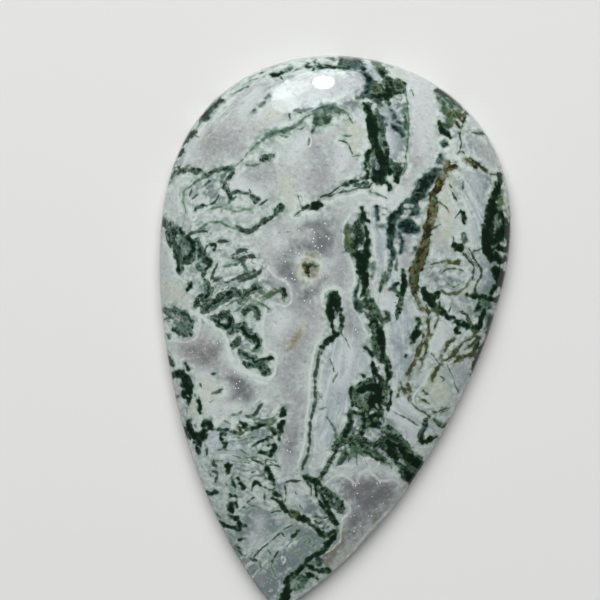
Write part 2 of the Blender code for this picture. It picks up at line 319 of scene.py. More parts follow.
# Mid green moss, seen through a little quartz
LEAVES = {
    "under": [[(315, 112, 4), (323, 110, 5.6), (332, 110, 6), (337, 112, 4)],
      [(316, 118, 3.6), (315, 126, 1.8), (312.8, 132, 1.1)],
      [(319, 118, 6), (328, 117, 6), (323, 122, 4.6)]],
    "crown": [[(376, 89, 5.6)], [(397, 85, 4)],
      [(374, 62, 2.6), (378, 67, 3.4), (382, 73, 3), (386, 77, 2.4), (390, 79, 2.4)],
      [(374, 101, 2.6), (381, 104, 3)]],
    "triangle": [[(226, 173, 1.6), (223, 178, 2.2), (221.6, 184, 1.4)]],
    "lens": [[(261, 160, 1.4), (267, 157, 3), (274, 156, 1.2)]],
    "plume": [[(260, 290, 1.4), (266, 296, 1.8), (272, 294, 2.2), (276, 292, 2)],
      [(262, 365, 3), (268, 361, 1.6), (264, 372, 2.6)],
      [(349, 228, 3), (350, 235, 4.6), (350, 243, 4.6), (349, 249, 3.6)],
      [(372, 264, 1.4), (372, 272, 1.8), (371, 279, 1)],
      [(215, 280.6, 1.2), (220, 280, 1.8), (225.6, 281.6, 1)],
      [(172, 226, 4), (178, 232, 4), (186, 250, 5), (182, 258, 4)],
      [(368, 290, 2), (369, 297, 3), (374, 306, 3), (379, 315, 3.6), (383, 323, 2.4)]],
    "lobe": [[(170, 313, 5), (178, 316, 6), (184, 323, 6), (182, 330, 5)]],
    "mid": [[(389, 264, 1.2), (388, 270, 2.6), (385, 277, 3.8), (382, 284, 3), (380, 289, 1.8)]],
    "right": [[(449, 115, 3.6), (449, 124, 5), (444, 127, 4)],
      [(438, 92, 3), (444, 98, 6), (452, 103, 6), (458, 108, 4)], [(463, 235, 2.6), (466, 241, 2.4)],
      [(500, 190, 2), (499, 203, 3.4), (497, 220, 3), (502, 240, 3)], [(484, 302, 4), (489, 308, 3)]],
    "fan": [[(325, 489, 2.4), (331, 496, 4), (337, 502, 4.6), (340, 508, 3)],
      [(341, 451, 2.6), (347, 453, 3.4), (354, 453, 3.6)]],
    "tip": [[(318, 559, 3), (320, 563, 4), (313, 563, 2)], [(298, 577, 3), (304, 581, 4), (296, 588, 3)]],
    "left": [[(256, 423, 2), (263, 423, 2.4), (271, 422, 2.6), (277, 419, 2.4)],
      [(270, 428, 1.2), (275, 431, 1.6)]],
    "low": [[(236, 544, 1.6), (238, 548, 2)]],
    "teal": [[(390, 162, 2.6), (393, 167, 4), (394, 171, 3)]],
    "shore": [[(405, 104, 2.2), (405, 112, 2.6), (406, 122, 2), (406, 130, 1.4)]],
    "fork": [[(385, 366, 2.4), (388, 374, 2.4)], [(386.4, 387, 1.2), (386.6, 396, 1.4), (386, 404, 1.4)]],
    "trunk": [[(405, 163, 1.2), (404, 167, 2), (400, 172, 2.6), (398, 177, 3)],
      [(394, 172, 2), (399, 164, 1.2), (404, 162.4, 1)]],
    "stem": [[(386, 312, 3), (391, 316, 3), (386, 321, 3)],
      [(374, 336, 2), (374, 345, 2.6), (376, 354, 2), (378, 362, 1.4)]],
    "hinge": [[(262, 473, 1.6), (266, 478, 2)]],
    "fibre": [[(285, 69, 1.6), (289, 68, 2.2), (292, 68, 1.1)], [(296, 68.8, 1.2), (298, 68.2, 1.4)],
      [(266, 98, 1.6), (268, 96, 1.8)], [(264, 102.6, 1.4), (260, 105, 1.8)],
      [(255, 109.6, 1.3), (253, 112, 1)]],
    "upper": [[(297, 126, 1.4), (291, 129, 2.2), (283, 131, 1.8), (275, 132, 1.8), (268, 135, 2.4),
      (263, 140, 1.8), (256.6, 144.6, 1.2)]],
    "corner": [[(442, 92, 4), (448, 100, 5), (444, 110, 4), (452, 116, 5), (458, 108, 4)]],
    "wedge": [[(352, 446, 3.4), (362, 450, 4), (374, 453, 4), (386, 460, 3.4)]],
    "rim": [[(307.6, 65.6, 1), (312, 64.6, 1.6), (317, 66, 1.6)],
      [(217, 106, 1.4), (211, 112, 1.6), (207, 119, 1.4)]],
}

# Moss that is mottled with lighter green and pale flecks
BUSHES = {
    "fork": [[(359, 386, 4), (365, 386, 6), (373, 383, 7), (380, 386, 7), (379, 396, 8), (372, 400, 8.4),
      (375, 408, 7), (380, 412, 4)],
      [(368, 414, 4.6), (376, 415, 6), (380, 421, 5), (374, 422, 6), (367, 423, 4)],
      [(350, 440, 4.4), (358, 441, 4.6), (367, 444, 4.4), (376, 444, 5.4), (384, 449, 4)],
      [(402, 467, 4), (408, 473, 7.4), (413, 480, 6)],
      [(356, 390, 3.4), (357, 398, 4.4), (361, 405, 4.4), (367, 409, 3.4)]],
    "fork left": [
      [(351, 415, 2.8), (351, 422, 3), (348, 430, 4.4), (345, 437, 5), (340, 444, 4.6), (334, 451, 3)],
      [(364, 418, 2.6), (364, 427, 3), (358, 434, 3.4), (352, 431, 2.6)]],
    "fork leg": [[(385, 436, 6), (391, 442, 9), (399, 448, 9.6), (398, 455, 8), (408, 458, 9),
      (416, 463, 8), (421, 467, 6)], [(383, 427, 1.6), (388, 428, 2.8), (393, 431, 2.2), (399, 436, 2.6),
      (404, 441, 2.6), (408, 447, 2.4)]],
    "plume": [[(164, 219, 2.4), (167, 226, 3.6), (173, 231, 4.6), (180, 234, 4.4), (186, 239, 4)],
      [(200, 256, 3), (206, 258, 3.4), (208, 264, 3.2), (203, 269, 3.6), (198, 265, 2.4)],
      [(207, 282, 3.5), (209, 289, 4), (206, 295, 4.2), (201, 300, 5), (197, 304, 4)],
      [(215, 317, 3.8), (221, 316, 3.8), (228, 315, 4.5), (231, 320, 4.2), (226, 325, 4.5), (219, 322, 5)],
      [(244, 312, 3), (250, 309, 4), (256, 312, 4), (258, 318, 2.8)],
      [(240, 353, 2.5), (247, 357, 3.8), (254, 359, 3.5)],
      [(245, 364, 2.5), (253, 365, 4), (260, 363, 4.2), (267, 370, 3.8), (266, 374, 2.2)],
      [(196, 240, 3), (200, 250, 4), (206, 262, 4), (203, 274, 3)]],
    "plume left": [[(169, 238, 3.4), (174, 245, 4), (178, 254, 4.6), (181, 264, 4), (181, 272, 2.6)],
      [(187, 242, 4), (192, 249, 4.6), (190, 257, 4.6), (184, 261, 4.4)]],
    "plume middle": [[(203, 309, 3.8), (210, 307, 4.5), (216, 302, 4.8), (222, 298, 5), (229, 295, 4.2),
      (236, 293, 3.8), (242, 296, 2.8)],
      [(241, 300, 3), (247, 294, 4.5), (254, 290, 4.2), (260, 289, 2.2)]],
    "plume foot": [[(230, 331, 3.2), (236, 328, 4.2), (242, 327, 4.5), (247, 333, 4.2), (251, 338, 4),
      (257, 340, 4.2), (258, 346, 3.5), (254, 350, 2.2)], [(234, 346, 3.2), (238, 341, 3), (239, 336, 2)]],
    "lobe": [[(166, 311, 3), (173, 310, 3), (180, 312, 2.8), (187, 316, 3.4), (190, 324, 3.6),
      (187, 332, 3.6), (180, 333, 3.4), (174, 331, 2.6)]],
    "crown": [[(342, 62, 4), (350, 63, 5), (356, 64, 3)], [(376, 62, 2.6), (380, 67, 3.6), (383, 73, 3.6)],
      [(384, 100, 2), (389, 104, 1.6)]],
    "dome": [[(376, 89, 7)], [(390, 87, 4.6), (396, 86, 6.4), (400, 87, 5)],
      [(384, 82, 3), (388, 79, 2.6), (384, 92, 4)]],
    "trunk": [[(370, 154, 4), (371, 162, 4.6), (373, 169, 4)],
      [(366, 183, 3), (360, 185, 2.4), (354, 185, 1.6)],
      [(376, 112, 3), (380, 120, 4), (381, 130, 4.4), (382, 140, 3.6), (385, 148, 2.6)],
      [(364, 105, 2.6), (369, 104, 2.6)], [(390, 160, 3), (394, 166, 4.6), (396, 172, 4), (396, 178, 3)]],
    "plume A": [[(363, 216, 1.6), (360, 223, 3.6), (358, 230, 6), (359, 238, 7), (354, 246, 6)],
      [(366, 300, 4.4), (369, 307, 4), (372, 313, 3.4), (376, 318, 3)],
      [(374, 325, 2.4), (376, 336, 4), (378, 346, 4), (378, 354, 3), (380, 360, 2.6)]],
    "band": [[(395, 290, 3), (398, 295, 2.4)],
      [(400, 300, 2.4), (399, 308, 2.8), (398, 315, 2), (398, 319, 1)],
      [(404, 205, 5), (410, 202, 4), (414, 207, 4)]],
    "left": [[(171, 177, 1.4), (174, 173, 2.6), (180, 170, 2.2), (186, 169, 2.2), (191, 169, 2.6),
      (196, 171, 2.2), (200, 172, 1)]],
    "triangle": [[(203, 178, 1.5), (211, 173, 1.8), (221, 169, 2.2), (227, 169, 2.6), (232, 170, 2.2),
      (234, 172, 1.3)],
      [(233, 172, 1.6), (230, 176, 1.9), (227, 180, 1.8), (224, 185, 1.7), (222, 188, 1.2)],
      [(220, 188.6, 1), (224, 187, 1.6), (228, 189, 1.6), (231, 194, 2), (231, 199, 2), (229, 202.6, 1)]],
    "tail": [[(361, 302, 3), (369, 312, 4), (374, 322, 4), (377, 334, 4), (381, 348, 4), (386, 362, 3.4),
      (389, 374, 3)]],
    "right": [[(462, 312, 1.6), (468, 318, 1.8), (470, 327, 1.8), (474, 336, 1.6)],
      [(425, 420, 2.2), (424, 427, 3), (421, 434, 2.8), (424, 440, 3)]],
    "rim": [[(214, 102, 2.2), (208, 108, 2.6), (204, 114, 3), (200, 119, 2)]],
    "wedge": [[(327, 493, 2.6), (332, 500, 3.6), (337, 506, 4), (340, 511, 3.2)]],
    "gate": [[(238.6, 227.4, 1.4), (243, 230, 2.4), (249, 231, 2.8), (254, 229, 2.4), (259, 225, 2.1),
      (264, 221, 2), (269, 219, 2.3), (274, 216, 2.1), (278, 212, 2.1), (281, 208, 3), (282, 204, 2)]],
    "ridge": [[(233, 193.6, 1.4), (239, 192, 1.9), (243, 194, 1.7), (247, 193, 1.6), (250, 196, 1.6),
      (254, 197, 1.8), (258, 198, 1.8), (255, 202, 1.2)]],
    "dash": [[(195, 209, 1), (199, 207, 2), (204, 205, 2)]],
    "lens": [[(261, 160, 1), (266, 157.6, 2.2), (270.4, 156, 2.2), (273.4, 156, 1)]],
    "leaf": [[(321, 478, 1.4), (328, 466, 1.8), (334, 457, 2)]],
}

# Pale chalcedony in front of the moss
WINDOWS = {
    "fork": [[(370, 433, 4), (375, 434, 5), (374, 438, 4.4)], [(375, 376, 0.8), (377, 381, 1)],
      [(371, 413, 1.6), (375, 411.8, 1.1)], [(381, 420, 2.2), (384, 424, 2)],
      [(376.4, 358, 1.2), (378, 365, 1.8), (380, 369, 1)],
      [(379, 450, 1.6), (384, 454, 2.2), (385, 458, 1.4)]],
    "fork left": [[(353.6, 427.6, 1.4), (356, 434, 1.8)], [(356, 418, 2.4), (359, 423, 2.4)]],
    "fork head": [[(366, 397, 0.9), (368, 399, 1)], [(383, 390, 0.8), (384, 394, 0.8)],
      [(376, 405, 0.7), (378, 409, 0.8)]],
    "fork leg": [[(391, 430, 1.3), (394, 433, 1.7)], [(398, 450, 1), (399, 453, 1.1)],
      [(384, 434, 0.8), (387, 439, 0.8)]],
    "fork foot": [[(400, 461, 1.6), (404, 464, 1.8)],
      [(412, 449, 1.6), (416, 451, 2.2), (416.6, 455, 1.3)]],
    "plume fleck": [[(169, 227, 1), (171, 231, 1)], [(179, 236, 0.8), (183, 240, 0.8)],
      [(183, 248, 1.2), (186, 253, 1.2)], [(203, 264, 1.4), (205, 266, 1)],
      [(222, 321, 1.2), (226, 320, 1)], [(199, 299, 0.8), (201, 303, 0.8)],
      [(246, 345, 2.6), (251, 344, 2)]],
    "lobe": [[(173, 315, 1.6), (180, 318, 2), (184, 324, 1.6)]],
    "crown": [
      [(363, 61, 1.6), (368, 65, 2), (373, 71, 2), (377, 77, 1.9), (381.6, 83, 1.4), (384.6, 87.4, 0.8)],
      [(396, 98, 2.6), (400, 99, 3), (398, 104, 3.4), (394, 108, 3)]],
    "trunk": [[(372, 157, 0.8), (371.6, 163, 0.8), (370.6, 170, 0.9), (370, 176, 0.7)],
      [(375.6, 159, 0.8), (376.4, 164, 1.2), (378, 168, 0.8)], [(373.6, 153, 0.6), (374.6, 158, 0.7)]],
    "plume A": [[(359, 246, 1.6), (361, 248, 2)], [(352.4, 232.6, 0.8), (355, 236.4, 0.8)],
      [(358, 234, 0.6), (360, 239, 0.6)], [(359.8, 284, 1), (360.4, 291, 1.2), (359.8, 297, 0.8)],
      [(363.6, 309.4, 1), (367, 311, 1.4)]],
    "band": [[(406, 205, 2.4), (411, 205, 2)]],
    "stem": [[(375.4, 330, 0.6), (375, 333, 0.8)]],
    "left": [[(187, 396, 0.8), (187.4, 396.6, 0.7)], [(195.4, 424, 1.4), (197, 428, 1.8)]],
    "wedge": [[(318.4, 486, 0.5), (320, 493, 0.8), (322.6, 500, 0.6)],
      [(313.4, 486, 0.7), (314, 494, 0.8)]],
    "fan": [[(333, 500.6, 0.8), (334.4, 503, 0.7)], [(336, 506, 0.9), (336.6, 509, 0.8)]],
    "tail": [[(333, 307, 0.5), (335, 314, 1), (337, 322, 1.6), (335.4, 328, 1)]],
    "quartz": [[(279.6, 232.6, 1.4), (280.4, 233, 1.2)],
      [(284, 230.6, 1), (288, 232, 1.8), (289.4, 229.6, 1)]],
    "fibre": [[(310, 66.2, 1), (315, 66.4, 1.2)]],
}

# Yellow-green hearts in the moss
GOLDEN = {
    "crown": [[(375, 88, 1.6), (377, 90, 2.2)], [(396, 82, 2), (400, 83, 1.6)],
      [(398, 87, 0.8), (400.6, 89, 0.9)]],
    "right": [[(450, 123, 3.4), (448, 115, 2)],
      [(497, 186, 1.6), (500, 196, 2.6), (503, 210, 3), (504, 224, 2.4)]],
    "bud": [[(270, 297, 1.6), (275, 293, 2), (279, 291, 1.4)]],
    "plume": [[(346, 232, 2), (350, 238, 2.4), (350, 246, 2)], [(257, 298, 2), (263, 300, 2.4)]],
    "fork": [[(354, 387, 2.6), (362, 391, 1.6)], [(338, 448, 2), (334, 456, 2)]],
    "shore": [[(405, 140, 1.6), (405, 147, 2)]],
    "left": [[(254, 427.6, 1), (262, 425, 1.2), (268, 423, 1)]],
    "wedge": [[(292, 513.6, 1), (295, 515, 1)]],
    "fan": [[(336, 507, 1.2)]],
}

# Iron-stained brown veins
OLIVE = {
    "top": [[(449, 162, 1.4), (446, 169, 2.8), (442, 177, 3), (437, 190, 3), (434, 199, 4), (434, 210, 4.4),
      (430, 221, 4)], [(449, 168, 3), (455, 167, 2.6)], [(466, 160, 1), (471, 164, 1.6), (476, 167, 1)]],
    "body": [[(430, 221, 4), (428, 232, 3.6), (424, 245, 3), (418, 257, 2.8), (414, 270, 2.6),
      (412, 283, 3), (413, 290, 3), (418, 302, 2.2), (422, 309, 1.4)],
      [(428, 250, 1.4), (424, 262, 1.6), (419, 274, 1.4)]],
    "right": [[(466, 113, 0.8), (464, 118, 1.1), (461.6, 126, 1.3), (460.6, 133, 1)],
      [(468, 159, 1.2), (477, 164, 1.1), (484, 169, 0.8), (494, 173, 0.7)],
      [(456, 122, 1), (459, 127, 1.2)]],
    "vug": [[(305, 263, 1.7), (307, 267, 2.9), (308, 272, 2.5), (308.6, 276, 1.5)],
      [(309, 265, 1.8), (314, 267, 1.9), (317.4, 267, 1)]],
    "wedge": [[(291, 512.6, 1.4), (294, 515, 2)]],
    "knot": [[(238, 425, 0.9), (238.6, 430, 1.2), (242, 431.6, 1.2)]],
}

# Green-brown veins, paler than the iron-stained ones
SAGE = {
    "streak": [[(425, 305, 1), (428.4, 316, 1.2), (427.6, 325, 1.1), (428.6, 334.4, 1.4), (426, 342, 1.7),
      (426, 349, 1.4), (423.6, 357, 1.1), (420, 369, 0.7)], [(422.8, 334.4, 0.8), (421.7, 343.7, 1.3),
      (418.2, 352, 1.4), (415.7, 360, 1.3), (411.2, 368, 1), (408, 376, 0.9), (409, 384, 1), (410, 394, 1),
      (410, 402, 0.9)], [(435.6, 308, 0.5), (437.3, 318, 0.6), (434.4, 328.6, 0.5), (431, 337, 0.7)]],
    "brook": [[(461, 343.5, 1.4), (456.5, 349.5, 1.3), (451.8, 355.3, 1.4), (446, 359, 1.1),
      (440, 363.4, 1), (435.6, 369.2, 1), (431, 381, 0.8)],
      [(454.2, 339, 0.7), (449.5, 342.6, 1), (445, 350.7, 0.9), (440.6, 357.6, 1.2)],
      [(457, 361, 1.9), (463, 358, 2.6), (470, 355, 2), (476, 351, 1)],
      [(463, 342, 1.2), (469, 337, 1.4), (475, 333, 1.2)],
      [(466, 350, 0.9), (472, 344, 1.3), (478, 338, 1)]],
    "loop": [[(446, 262, 1.2), (452, 263, 2.2), (458, 262, 2.4)]],
    "right": [[(461, 121, 1.4), (458, 116, 0.8)],
      [(448, 115, 1.4), (454, 112, 1.6), (460, 116, 1.6), (465, 112, 1.2)]],
    "rust": [[(400, 390.6, 0.8), (398, 396, 0.9)], [(422.6, 391.4, 1), (427, 395, 1.5)],
      [(418.6, 398, 1), (423, 401, 1.3), (427, 403.6, 0.8)],
      [(401, 382.6, 1.1), (402, 386, 1), (406, 393, 1.4)]],
}

# Thin dark green lines, which keep their width between the stone's mesh points
GREEN_LINES = {
    "left": [[(170, 175, 0.9), (167, 187, 0.7)], [(213.6, 460.8, 1), (215, 464, 1.5), (217, 466.4, 1.2)],
      [(214, 470.6, 1), (216.8, 472.4, 1.5), (217, 478, 1.6), (216, 482, 1)],
      [(206, 446.6, 1.4), (207, 450, 1.7), (207, 453.6, 1.1)]],
    "dash": [[(203, 186.4, 1.2), (206, 184, 1.8), (209, 182, 1.6)], [(190.4, 194, 0.9), (192, 190.8, 1.3)],
      [(191.6, 199, 0.9), (196, 195.8, 1.1)],
      [(219.6, 194.6, 0.9), (217, 199, 1.1), (213, 203, 1.4), (207.6, 205.4, 1.2)],
      [(261, 204.6, 1), (264, 203, 1.4), (266.4, 201.2, 1.2)]],
    "gate": [[(298.5, 197, 0.7), (300, 204, 0.9), (304, 209, 1.4)], [(300.5, 211, 1.2), (296, 215, 0.8)]],
    "right bank": [
      [(321, 197.5, 1), (328.5, 193.6, 1), (336, 190, 1.1), (341, 186.4, 1.1), (347, 184.6, 1.2)],
      [(330, 195.6, 0.7), (341, 192, 0.9), (350, 190.4, 1), (357, 188.4, 1.1), (363, 188, 1.3),
      (368, 185.4, 1.2), (372, 182, 1)]],
    "fibre": [[(261, 73, 1.3), (263, 72, 1)], [(281, 77, 1.2), (282, 79, 0.8)]],
    "plume": [[(219.5, 241, 1.8), (225.5, 241, 2)], [(217, 266.6, 1.2), (214, 273, 1.7), (213, 278, 1.5)],
      [(228, 281.8, 1.4), (236, 279, 1.8), (244.4, 275, 2), (249, 273, 1.7)],
      [(233.5, 255, 1.4), (240, 250.6, 2), (246, 248.6, 2.1)],
      [(234, 258.6, 1.5), (240, 259.8, 2), (247, 256, 2.4), (253, 257.2, 2.2)],
      [(240.3, 282, 1.4), (247, 279, 1.7), (255, 276.2, 2), (261, 273, 2.2), (263, 269, 2.2)],
      [(254, 270.8, 1.7), (255.2, 270.8, 1.7)],
      [(187, 237, 2), (192, 233, 1.9), (199, 231, 1.9), (206, 231.4, 1.5)]],
    "right branch": [[(460.6, 134, 1), (460, 147, 1), (457.5, 152, 0.8)],
      [(462, 151, 0.8), (464, 152.6, 0.8)]],
    "right": [[(473, 132.7, 0.9), (483, 134.4, 1.3), (491, 141, 1.1), (494.5, 145, 0.8)],
      [(475.4, 161, 0.5), (481, 169, 0.7), (487.7, 172.4, 0.9), (494.4, 174, 0.8)], [(421, 411, 1),
      (427, 415, 1.3), (434, 420.6, 1.3), (441, 426, 1.4), (447, 425.6, 1.2), (452, 421, 1),
      (455, 418, 1)]],
    "right dash": [[(462, 183, 1.2), (462, 190, 1.2)], [(453, 194, 1.2), (455.5, 198, 1.5)],
      [(459.6, 211.8, 1.1), (455.8, 216, 1)], [(449.5, 184.5, 0.6), (451, 186.6, 0.6)],
      [(452, 162, 0.7), (457, 161.6, 0.6)], [(440.4, 303.4, 1.2), (439.8, 307.6, 1.2)],
      [(449.6, 308, 0.9), (448.2, 311.4, 1.1)]],
    "twin": [[(464, 254, 1.6), (468, 259, 1.3), (472.6, 265, 1.4), (473.7, 269.6, 1.2), (472.6, 279, 1.1)],
      [(470, 249.3, 1.4), (472.6, 254, 1.4), (475, 260.3, 1.2), (479.5, 266, 1.3), (481.8, 272, 1.2),
      (480.7, 277.7, 1.2), (476, 284.7, 1.1), (475.5, 292.8, 1.2)], [(482, 248, 0.8), (475, 251, 0.7)]],
    "mesh": [[(438.5, 413, 1), (444, 410, 1.7), (448.5, 408, 1.1)]],
    "fan": [[(345, 454, 1.8), (340, 464, 1.4)]],
    "leaf": [[(262.4, 404, 1.8), (259.4, 408.6, 2.2), (256.4, 412.8, 2.1), (254, 416, 1.7)]],
    "fin": [[(268, 459, 0.7), (272, 459.6, 1), (275, 460.8, 0.8)]],
    "hinge": [[(253, 459.8, 0.8), (258, 461, 1), (263, 463, 1.2), (267.6, 464.8, 1.4)],
      [(270.6, 464.8, 1), (276, 465, 1.6), (279.4, 466, 1.2)]],
    "step": [[(260.6, 485, 1), (265, 487.2, 1.1), (270, 489, 1.1), (273.4, 488.6, 0.9)],
      [(263.6, 493, 1), (264, 498, 1.2)]],
    "pen": [[(247, 502.4, 1.2), (250, 499.4, 1.5), (253.4, 497.6, 1.1)],
      [(239.6, 510.4, 0.9), (242.6, 508, 1.4), (245, 505.6, 1.1)], [(254, 556.8, 1.1), (259, 551.6, 1),
      (265, 546, 1), (270.6, 541.4, 0.9), (275.4, 536.8, 0.9), (279.4, 533.8, 0.8), (283, 535.6, 0.9)],
      [(250, 558, 1.2), (253, 560, 1.6), (256.4, 560, 1.2)],
      [(272, 560, 1.1), (274, 556.4, 1.4), (277.4, 552.4, 1)],
      [(272, 512.6, 0.8), (276, 510.8, 1), (281, 509.6, 1)], [(288, 527, 0.8), (291, 525.5, 0.9)],
      [(292, 540, 1), (296, 535.6, 0.9), (300, 531, 0.9)]],
    "pocket": [[(286, 483, 1.2), (291, 482, 1.6), (296, 481.8, 1.5), (300, 480.6, 1)],
      [(285.6, 484, 0.9), (285.8, 492, 0.9), (284.6, 499, 0.9)], [(296.6, 493, 1.2), (297.4, 493.6, 1)],
      [(299.6, 506, 0.9), (300.4, 507.6, 0.8)]],
    "wedge": [[(311, 485, 0.9), (311.4, 492, 0.7), (311, 498, 0.5)]],
    "maze": [[(312.6, 517.4, 0.7), (316.6, 516.4, 1), (321, 517.4, 0.8)],
      [(324.6, 516.8, 0.7), (328.6, 517, 0.9), (331.6, 518.6, 0.8)],
      [(314.6, 520.8, 0.9), (318, 523.8, 1), (322, 521.6, 0.8)], [(324.6, 525.4, 1.1), (328.8, 521.6, 1.3)],
      [(322.4, 528.4, 0.8), (327, 527.4, 0.8), (331.6, 524.6, 0.9)]],
    "lobe": [[(213, 374, 1.5), (214, 374, 1.5)],
      [(213.6, 394, 1.8), (217.6, 393, 2.1), (220.6, 391.4, 1.8)], [(200.5, 384, 1.4), (201, 385, 1.2)]],
    "fork": [[(361.6, 450.7, 1), (369, 454, 0.9), (377, 458.6, 1), (384.6, 462.4, 0.8)],
      [(391, 460, 0.9), (399, 463, 1.2), (407, 467.6, 0.9)]],
    "islet": [[(341, 141, 1), (346.6, 142, 1.3), (349, 147.4, 1.1), (352.6, 152.6, 1)]],
    "low": [[(232, 548, 0.7), (238, 551.4, 1.1), (244, 555, 1.3), (247, 553.4, 0.8)]],
    "ridge": [[(250, 190.6, 0.8), (250.4, 194, 0.9)], [(236, 196.4, 1), (232.8, 199, 1)]],
    "highlight": [[(303, 109.8, 0.9), (312, 108.2, 0.9), (322, 106.8, 0.8)],
      [(289.8, 115.6, 0.9), (290, 118.4, 0.9)]],
    "tail": [[(327, 342, 2), (323, 347, 1.9), (319.5, 356, 1.9), (316, 372, 2), (314.6, 385, 1.8),
      (315, 400, 1.8), (313, 413, 1.6), (310.5, 426, 1.6), (309, 441, 1.4), (307.6, 452, 1.5),
      (304.5, 461, 1.6), (303, 469, 1)]],
}

